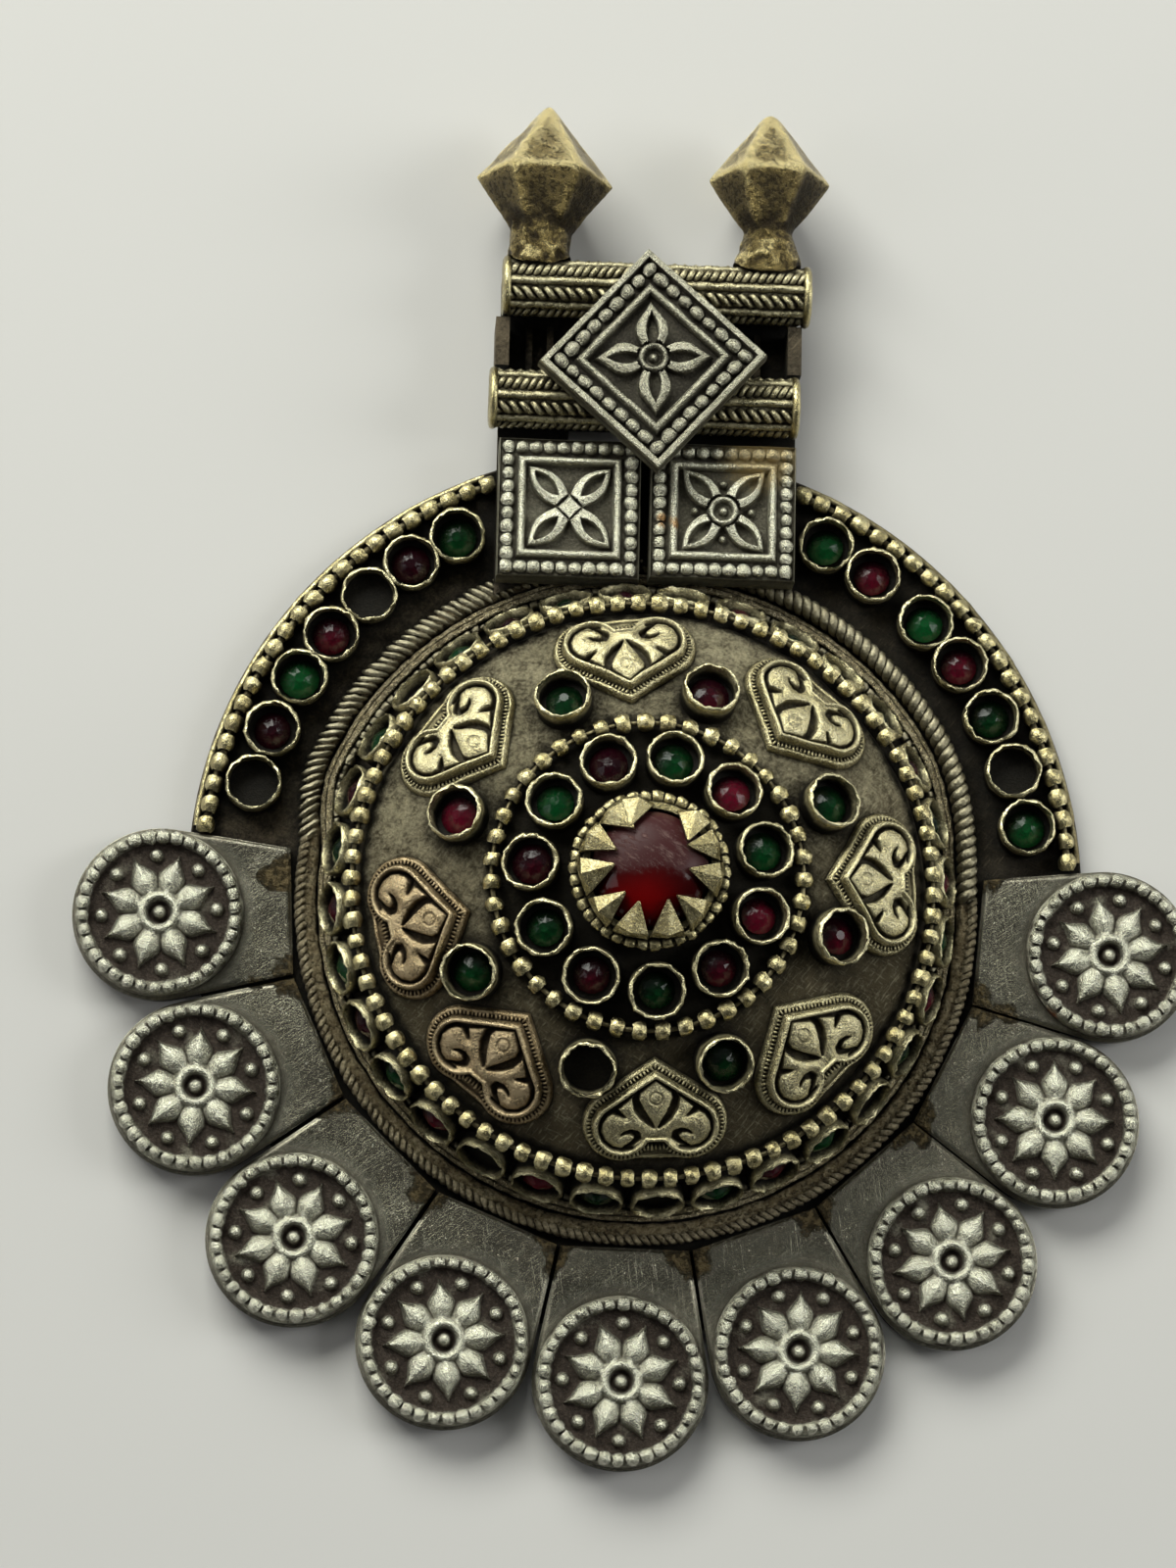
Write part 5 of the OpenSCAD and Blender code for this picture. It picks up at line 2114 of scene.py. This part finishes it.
@dataclass
class Plaque:
    """A pressed square with a beaded border, an inner frame and four open petals.

    The petals are given as half widths at distances from the middle, and their openings likewise.
    """

    name: str
    node: str
    width: float
    length: float
    thick: float
    where: Matrix
    petal: Curve
    opening: Curve
    border: tuple[float, float, float]
    beads: tuple[int, int]
    finish: str = "plaque"
    dots: bool = False
    boss: bool = True
    foot: tuple[float, float] | None = None
    seed: int = 1

    def heights(self, points: np.ndarray) -> np.ndarray:
        """Height of the relief over the plaque's underside.

        Args:
            points: The points, two coordinates each.

        Returns:
            One height for each point.
        """
        ground = self.thick
        edge = np.minimum(self.width / 2 - np.abs(points[:, 0]), self.length / 2 - np.abs(points[:, 1]))
        band, _, frame_at = self.border
        z = ground + level(edge, 0.1, 0.5) - level(edge - band, 0.12, 0.5)
        z = np.maximum(z, ground + bead_line(edge - frame_at, 0.3, 0.55))
        r = np.linalg.norm(points, axis=1)
        turn = np.arctan2(points[:, 1], points[:, 0])
        off = turn % (math.pi / 2) - math.pi / 4
        along, across = r * np.cos(off), np.abs(r * np.sin(off))
        half, hole = (np.interp(along, *zip(*curve), left=0) for curve in (self.petal, self.opening))
        inside = half - across
        petal = level(inside, 0.12, 0.44) + np.clip(inside / 0.5, 0, 1) * 0.2
        petal = petal - level(hole - across + 0.04, 0.14, 0.52) * (hole > 0)
        z = np.maximum(z, ground + np.where(half > 0, petal, 0))
        if self.boss:
            z = np.where(r < 1.04, ground + 0.16, z)
            z = np.maximum(z, ground + bead_line(np.abs(r - 0.76), 0.22, 0.62))
            z = np.maximum(z, ground + bead_line(r, 0.32, 0.55))
        else:
            worn = np.abs(points).sum(axis=1)
            z = np.where(worn < 0.72, ground + 0.5, np.where(worn < 0.9, ground + 0.36, z))
        if self.dots:
            around = np.minimum(np.abs(points[:, 0]), np.abs(points[:, 1]))
            out = np.maximum(np.abs(points[:, 0]), np.abs(points[:, 1]))
            z = np.maximum(z, ground + bead_line(np.hypot(around, out - 1.75), 0.26, 0.42))
        return z

    def build(self) -> None:
        """Builds the plaque with its border of beads."""
        w, l = self.width / 2, self.length / 2
        outline = dense([(-w, -l), (w, -l), (w, l), (-w, l)], 0.12)
        worn = with_wear(self.heights, Ripple(self.seed, 2.4, 0.035))
        sheet = Stamping("plaque", outline, worn, self.finish, rings=58, ground=self.thick,
                         top=self.thick + 0.6).mesh()
        parts = [sheet]
        w, l = w - self.border[1], l - self.border[1]
        corners = [(-w, -l), (w, -l), (w, l), (-w, l)]
        for side in range(4):
            a, b = np.array(corners[side]), np.array(corners[(side + 1) % 4])
            count = self.beads[side % 2]
            stops = a + (b - a) * np.linspace(0, 1 - 1 / count, count)[:, None]
            path = np.column_stack([stops, np.full(count, self.thick + 0.12)])
            size = 0.5 * np.linalg.norm(b - a) / count
            row = bead_row((path, False), count, bead(0.43, 0.44, size, 2.0, 12, 5, 2.1), self.finish,
                           self.seed + side, 0.09, 0.14)
            set_mark(row, "relief", 0.9)
            parts.append(row)
        if self.foot:
            drop, y = self.foot
            foot = lathe("foot", [(0, -drop), (2.9, -drop), (2.9, 0.1), (0, 0.1)], 40, self.finish)
            parts.append(moved(foot, move_by(0, y, 0)))
        Piece.finish(self.name, [moved(part, self.where) for part in parts], Slot.SILVER, [self.node])


@dataclass
class Tube:
    """A hanger tube: a hollow core with wires laid along it and a rim at each end."""

    name: str
    node: str
    x: float
    y: float
    z: float = 3.95
    length: float = 19.1
    bore: float = 1.1
    core_r: float = 1.42
    rim_r: float = 1.68
    rows: int = 12
    steps: int = 190
    turns: float = 14.0
    lean: float = 0.0

    def build(self) -> None:
        """Builds the tube along X."""
        half = self.length / 2
        core_r, steps = self.core_r, self.steps
        core = lathe("core",
                     [(self.bore, -half), (core_r, -half), (core_r, half), (self.bore, half)], 48, "wound")
        parts = [core]
        for end in (-half + 0.2, half - 0.2):
            parts.append(wire(arc_path(self.rim_r, end, 0.25), 0.27, "wire"))
        cap = half - 0.12
        for row in range(self.rows):
            turn = 2 * math.pi * row / self.rows
            reach = core_r if row % 2 else core_r + 0.1
            path = np.column_stack([np.full(steps, reach * math.cos(turn)),
                                    np.full(steps, reach * math.sin(turn)), np.linspace(-cap, cap, steps)])
            if row % 2:
                turns = self.turns if row % 4 == 1 else -1.35 * self.turns
                parts.append(self.clear(wire((path, False), 0.2, "wound", turns, 0.27, 6, 0.1)))
            else:
                parts.append(self.clear(wire((path, False), 0.27, "wound", wobble=0.12)))
        lay_down = move_by(self.x, self.y, self.z) @ spin(90, "Y")
        lay_down = lay_down @ Matrix.Rotation(math.pi + self.lean, 4, "Z")
        Piece.finish(self.name, [moved(part, lay_down) for part in parts], Slot.SILVER, [self.node])

    def clear(self, mesh: bpy.types.Mesh) -> bpy.types.Mesh:
        """Keeps a wire out of the bore.

        Args:
            mesh: The wire, while the tube stands on Z.

        Returns:
            The same wire, changed.
        """
        points = vertices(mesh)
        r = np.hypot(points[:, 0], points[:, 1])
        push = np.maximum(self.bore + 0.05, r) / np.maximum(r, 1e-6)
        points[:, :2] *= push[:, None]
        mesh.vertices.foreach_set("co", points.ravel())
        return mesh


@dataclass
class Finial:
    """A cast knob: a foot on the tube, a waist and a six sided double cone."""

    name: str
    node: str
    x: float
    lean: float
    head_r: float
    foot_r: float
    waist_r: float
    waist_y: float
    widest_y: float
    tip_r: float
    tip_y: float = 50.2
    foot_y: float = 39.3
    z: float = 3.95
    tube_y: float = 38.2
    tube_r: float = 2.0
    voxel: float = 0.13
    seed: int = 1

    def head(self) -> bpy.types.Mesh:
        """Makes the six sided double cone, its axis along Z from the foot.

        Returns:
            The double cone.
        """
        rows = [(self.waist_r + 0.1, self.waist_y - self.foot_y), (self.head_r, self.widest_y - self.foot_y),
                (self.tip_r, self.tip_y - self.foot_y - self.tip_r * 0.6)]
        points = [(r * math.cos(k * math.pi / 3), r * math.sin(k * math.pi / 3), z)
                  for r, z in rows for k in range(6)]
        faces: list[tuple[int, ...]] = []
        for row in range(2):
            a = row * 6
            faces += [(a + k, a + (k + 1) % 6, a + 6 + (k + 1) % 6, a + 6 + k) for k in range(6)]
        points.append((0, 0, self.tip_y - self.foot_y))
        faces += [(12 + k, 12 + (k + 1) % 6, 18) for k in range(6)]
        faces.append((5, 4, 3, 2, 1, 0))
        return solid_mesh("head", np.array(points), faces, "cast", 0)

    def build(self) -> None:
        """Builds the knob in one skin, its edges rounded by wear."""
        waist = self.waist_y - self.foot_y
        profile = [(0, 0.0), (self.foot_r * 0.92, 0), (self.foot_r, 0.35), (self.foot_r, 1.0),
                   (self.foot_r * 0.93, 1.5), (self.waist_r, waist - 0.25), (self.waist_r, waist + 0.3),
                   (0, waist + 0.3)]
        parts = [self.head(), lathe("stem", profile, 40, "cast")]
        block = bmesh.new()
        for part in parts:
            block.from_mesh(part)
        mesh = bpy.data.meshes.new("knob")
        block.to_mesh(mesh)
        block.free()
        knob = put("knob", mesh)
        remesh = knob.modifiers.new("skin", "REMESH")
        remesh.mode, remesh.voxel_size = "VOXEL", self.voxel
        smooth = knob.modifiers.new("wear", "SMOOTH")
        smooth.factor, smooth.iterations = 0.5, 9
        bpy.context.view_layer.update()
        skin = bpy.data.meshes.new_from_object(knob.evaluated_get(bpy.context.evaluated_depsgraph_get()))
        bpy.data.objects.remove(knob)
        skin.materials.clear()
        skin.materials.append(PAINTS.get("cast"))
        points = vertices(skin)
        pits, dents = Ripple(self.seed, 0.9, 0.006, 16), Ripple(self.seed + 1, 3.5, 0.04)
        centre = points - np.array([0, 0, self.widest_y - self.foot_y])
        centre /= np.linalg.norm(centre, axis=1)[:, None]
        points += centre * (np.minimum(pits.at(points) + dents.at(points), 0.02))[:, None]
        stem = np.clip((points[:, 2] - waist - 0.2) / 1.0, 0, 1)
        lumps = Ripple(self.seed + 2, 1.7, 0.075, 12).at(points)
        lumps = lumps + Ripple(self.seed + 3, 0.8, 0.025, 12).at(points)
        outward = points * [1, 1, 0] / np.maximum(np.hypot(points[:, 0], points[:, 1]), 0.5)[:, None]
        points += outward * (np.minimum(lumps, 0.05) * (1 - stem))[:, None]
        skin.vertices.foreach_set("co", points.ravel())
        skin.polygons.foreach_set("use_smooth", [True] * len(skin.polygons))
        facing = np.array([tuple(v.normal) for v in skin.vertices])
        # Painted highlight, partly real wear: convex edges, narrow and broad, get a higher relief mark and
        # so more of the bright colour.
        raised = ((points - settled(skin, 14)) * facing).sum(axis=1)
        broad = np.clip(((points - settled(skin, 70)) * facing).sum(axis=1) / 0.25, -0.5, 1)
        # Painted light: facets that face up the knob and towards the key light get a higher relief mark, and
        # so a lighter colour.
        tone = 0.27 + facing @ np.array([-0.08, -0.14, 0.42])
        mark = tone + np.clip((raised - 0.012) / 0.07, -0.7, 1) * (0.5 - 0.26 * stem)
        mark = mark + broad * 0.3 * stem - 0.1 * (1 - stem)
        set_mark(skin, "relief", np.clip(mark, 0, 1))
        stand = move_by(self.x, self.foot_y, self.z) @ spin(-self.lean, "Z")
        skin.transform(stand @ spin(-90, "X"))
        self.saddle(skin)
        Piece.finish(self.name, [skin], Slot.CAST, [self.node])

    def saddle(self, skin: bpy.types.Mesh) -> None:
        """Keeps the foot out of the tube.

        Args:
            skin: The knob's mesh, which is changed.
        """
        points = vertices(skin)
        y, z = points[:, 1] - self.tube_y, points[:, 2] - self.z
        r = np.hypot(y, z)
        push = np.where(y > 0, np.maximum(self.tube_r, r) / np.maximum(r, 1e-6), 1.0)
        points[:, 1] = self.tube_y + y * push
        points[:, 2] = self.z + z * push
        skin.vertices.foreach_set("co", points.ravel())


@dataclass
class Hanger:
    """Sheet, tubes, plaques and finials above the dome."""

    square_z: float = 2.45
    diamond_z: float = 5.82

    def build(self) -> None:
        """Builds the hanger's pieces."""
        Piece.dress("hanger_frame", "plate")
        Tube("wound_tube_upper", "upper_tube", 0.3, 38.2).build()
        Tube("wound_tube_lower", "lower_tube", -0.35, 31.0, lean=0.12).build()
        turn = spin(48.5, "Z")
        wide = ((0.6, 0.66), (0.9, 0.8), (1.4, 1.03), (1.85, 1.1), (2.3, 0.98), (2.8, 0.62),
                (3.2, 0.32), (3.7, 0.0))
        slot = ((0.98, 0.0), (1.1, 0.28), (1.5, 0.38), (2.0, 0.35), (2.4, 0.24), (2.85, 0.0))
        Plaque("pressed_diamond", "diamond_plaque", 10, 10, 0.9, move_by(0, 33, self.diamond_z) @ turn,
               wide, slot, (0.42, 0.98, 1.85), (8, 8), "diamond", seed=120).build()
        leaf = ((0.45, 0.6), (0.9, 0.74), (1.4, 0.9), (1.9, 0.93), (2.4, 0.84), (2.9, 0.58),
                (3.3, 0.3), (3.65, 0.0))
        slot = ((1.0, 0.0), (1.3, 0.22), (1.8, 0.4), (2.3, 0.4), (2.7, 0.26), (3.1, 0.0))
        for side, x, y, w, l, seed in (("left", -4.85, 24, 8.8, 8.8, 130),
                                       ("right", 4.65, 24.1, 9, 8.6, 140)):
            right = side == "right"
            Plaque(f"pressed_square_{side}", f"square_plaque_{side}", w, l, 1.75,
                   move_by(x, y, self.square_z), leaf, slot, (0.02, 0.6, 1.45), (9, 9), "plaque", right,
                   right, (0.5, 0.9), seed).build()
        Finial("cast_finial_left", "finial_left", -7.1, 2.5, 4.35, 2.05, 1.9, 41.9, 45.1, 0.3,
               seed=151).build()
        Finial("cast_finial_right", "finial_right", 7.2, 0.5, 3.9, 2.1, 1.5, 42.3, 45.6, 0.6,
               seed=161).build()


@dataclass
class Studio:
    """Floor, soft lights and the camera."""

    azimuth: float = -14.15
    elevation: float = 78.45
    roll: float = 1.25
    away: float = 260.0
    target: tuple[float, float, float] = (-3.10, 7.60, 0.0)
    focal: float = 4290.0
    frame_height: float = 1600.0
    sensor: float = 36.0

    def light(self, name: str, place: tuple[float, float, float], size: tuple[float, float], power: float,
              colour: Colour = (1, 1, 1)) -> None:
        """Adds a soft box that faces the pendant.

        Args:
            name: The light's name.
            place: Where it stands, in millimetres.
            size: Its width and height, in millimetres.
            power: Its power in watts.
            colour: Its colour.
        """
        data = bpy.data.lights.new(name, "AREA")
        data.shape, data.size, data.size_y = "RECTANGLE", size[0] * MM, size[1] * MM
        data.energy, data.color = power, colour
        lamp = put(name, data)
        lamp.location = Vector(place) * MM
        lamp.rotation_euler = (Vector((0, 8, 0)) - Vector(place)).to_track_quat("-Z", "Y").to_euler()

    def camera(self) -> None:
        """Sets the camera at the photograph's angle."""
        el, az, roll = (math.radians(v) for v in (self.elevation, self.azimuth, self.roll))
        back = Vector((math.cos(el) * math.sin(az), -math.cos(el) * math.cos(az), math.sin(el)))
        right = (-back).cross(Vector((0, 1, 0))).normalized()
        up = right.cross(-back)
        across = right * math.cos(roll) + up * math.sin(roll)
        above = up * math.cos(roll) - right * math.sin(roll)
        data = bpy.data.cameras.new("camera")
        data.lens = self.focal * self.sensor / self.frame_height
        data.sensor_width, data.clip_start = self.sensor, 0.01
        camera = put("camera", data)
        turn = Matrix((across, above, back)).transposed().to_4x4()
        camera.matrix_world = Matrix.Translation((Vector(self.target) + back * self.away) * MM) @ turn
        bpy.context.scene.camera = camera

    def build(self) -> None:
        """Builds the studio."""
        size = 1500
        points = np.array([(-size, -size, -0.05), (size, -size, -0.05), (size, size, -0.05),
                           (-size, size, -0.05)]) * MM
        mesh = bpy.data.meshes.new("floor")
        mesh.from_pydata(points.tolist(), [], [(0, 1, 2, 3)])
        mesh.materials.append(PAINTS.get("floor"))
        floor = put("floor", mesh)
        world = bpy.data.worlds.new("room")
        bpy.context.scene.world = world
        world.use_nodes = True
        g = Graph(world.node_tree)
        where = g.node("ShaderNodeTexCoord").out("Generated")
        height = g.vector("DOT_PRODUCT", where, (-0.15, 0.95, 0.1))
        tone = g.mix(height.rise(-0.6, 0.8), (0.044, 0.046, 0.045), (0.27, 0.28, 0.262))
        background = world.node_tree.nodes["Background"]
        g.feed(background.inputs["Color"], tone)
        background.inputs["Strength"].default_value = 1.0
        self.light("key", (-200, 395, 345), (470, 260), 3.9, (0.975, 1.0, 0.915))
        self.light("side", (430, 60, 260), (170, 300), 1.05, (0.97, 1.0, 0.96))
        self.light("left", (-430, -60, 240), (160, 300), 0.25)
        bpy.context.scene.view_settings.view_transform = "Standard"
        self.camera()


def main() -> None:
    """Builds the pendant and the studio."""
    logging.basicConfig(level=logging.INFO, format="%(name)s: %(message)s")
    for assembly in (BasePlate(), Border(), Dome(), Settings(), CentreSetting(), Hearts(), Tabs(),
                     Hanger(), Studio()):
        assembly.build()
        LOG.info("%s built", type(assembly).__name__)


if __name__ == "__main__":
    main()
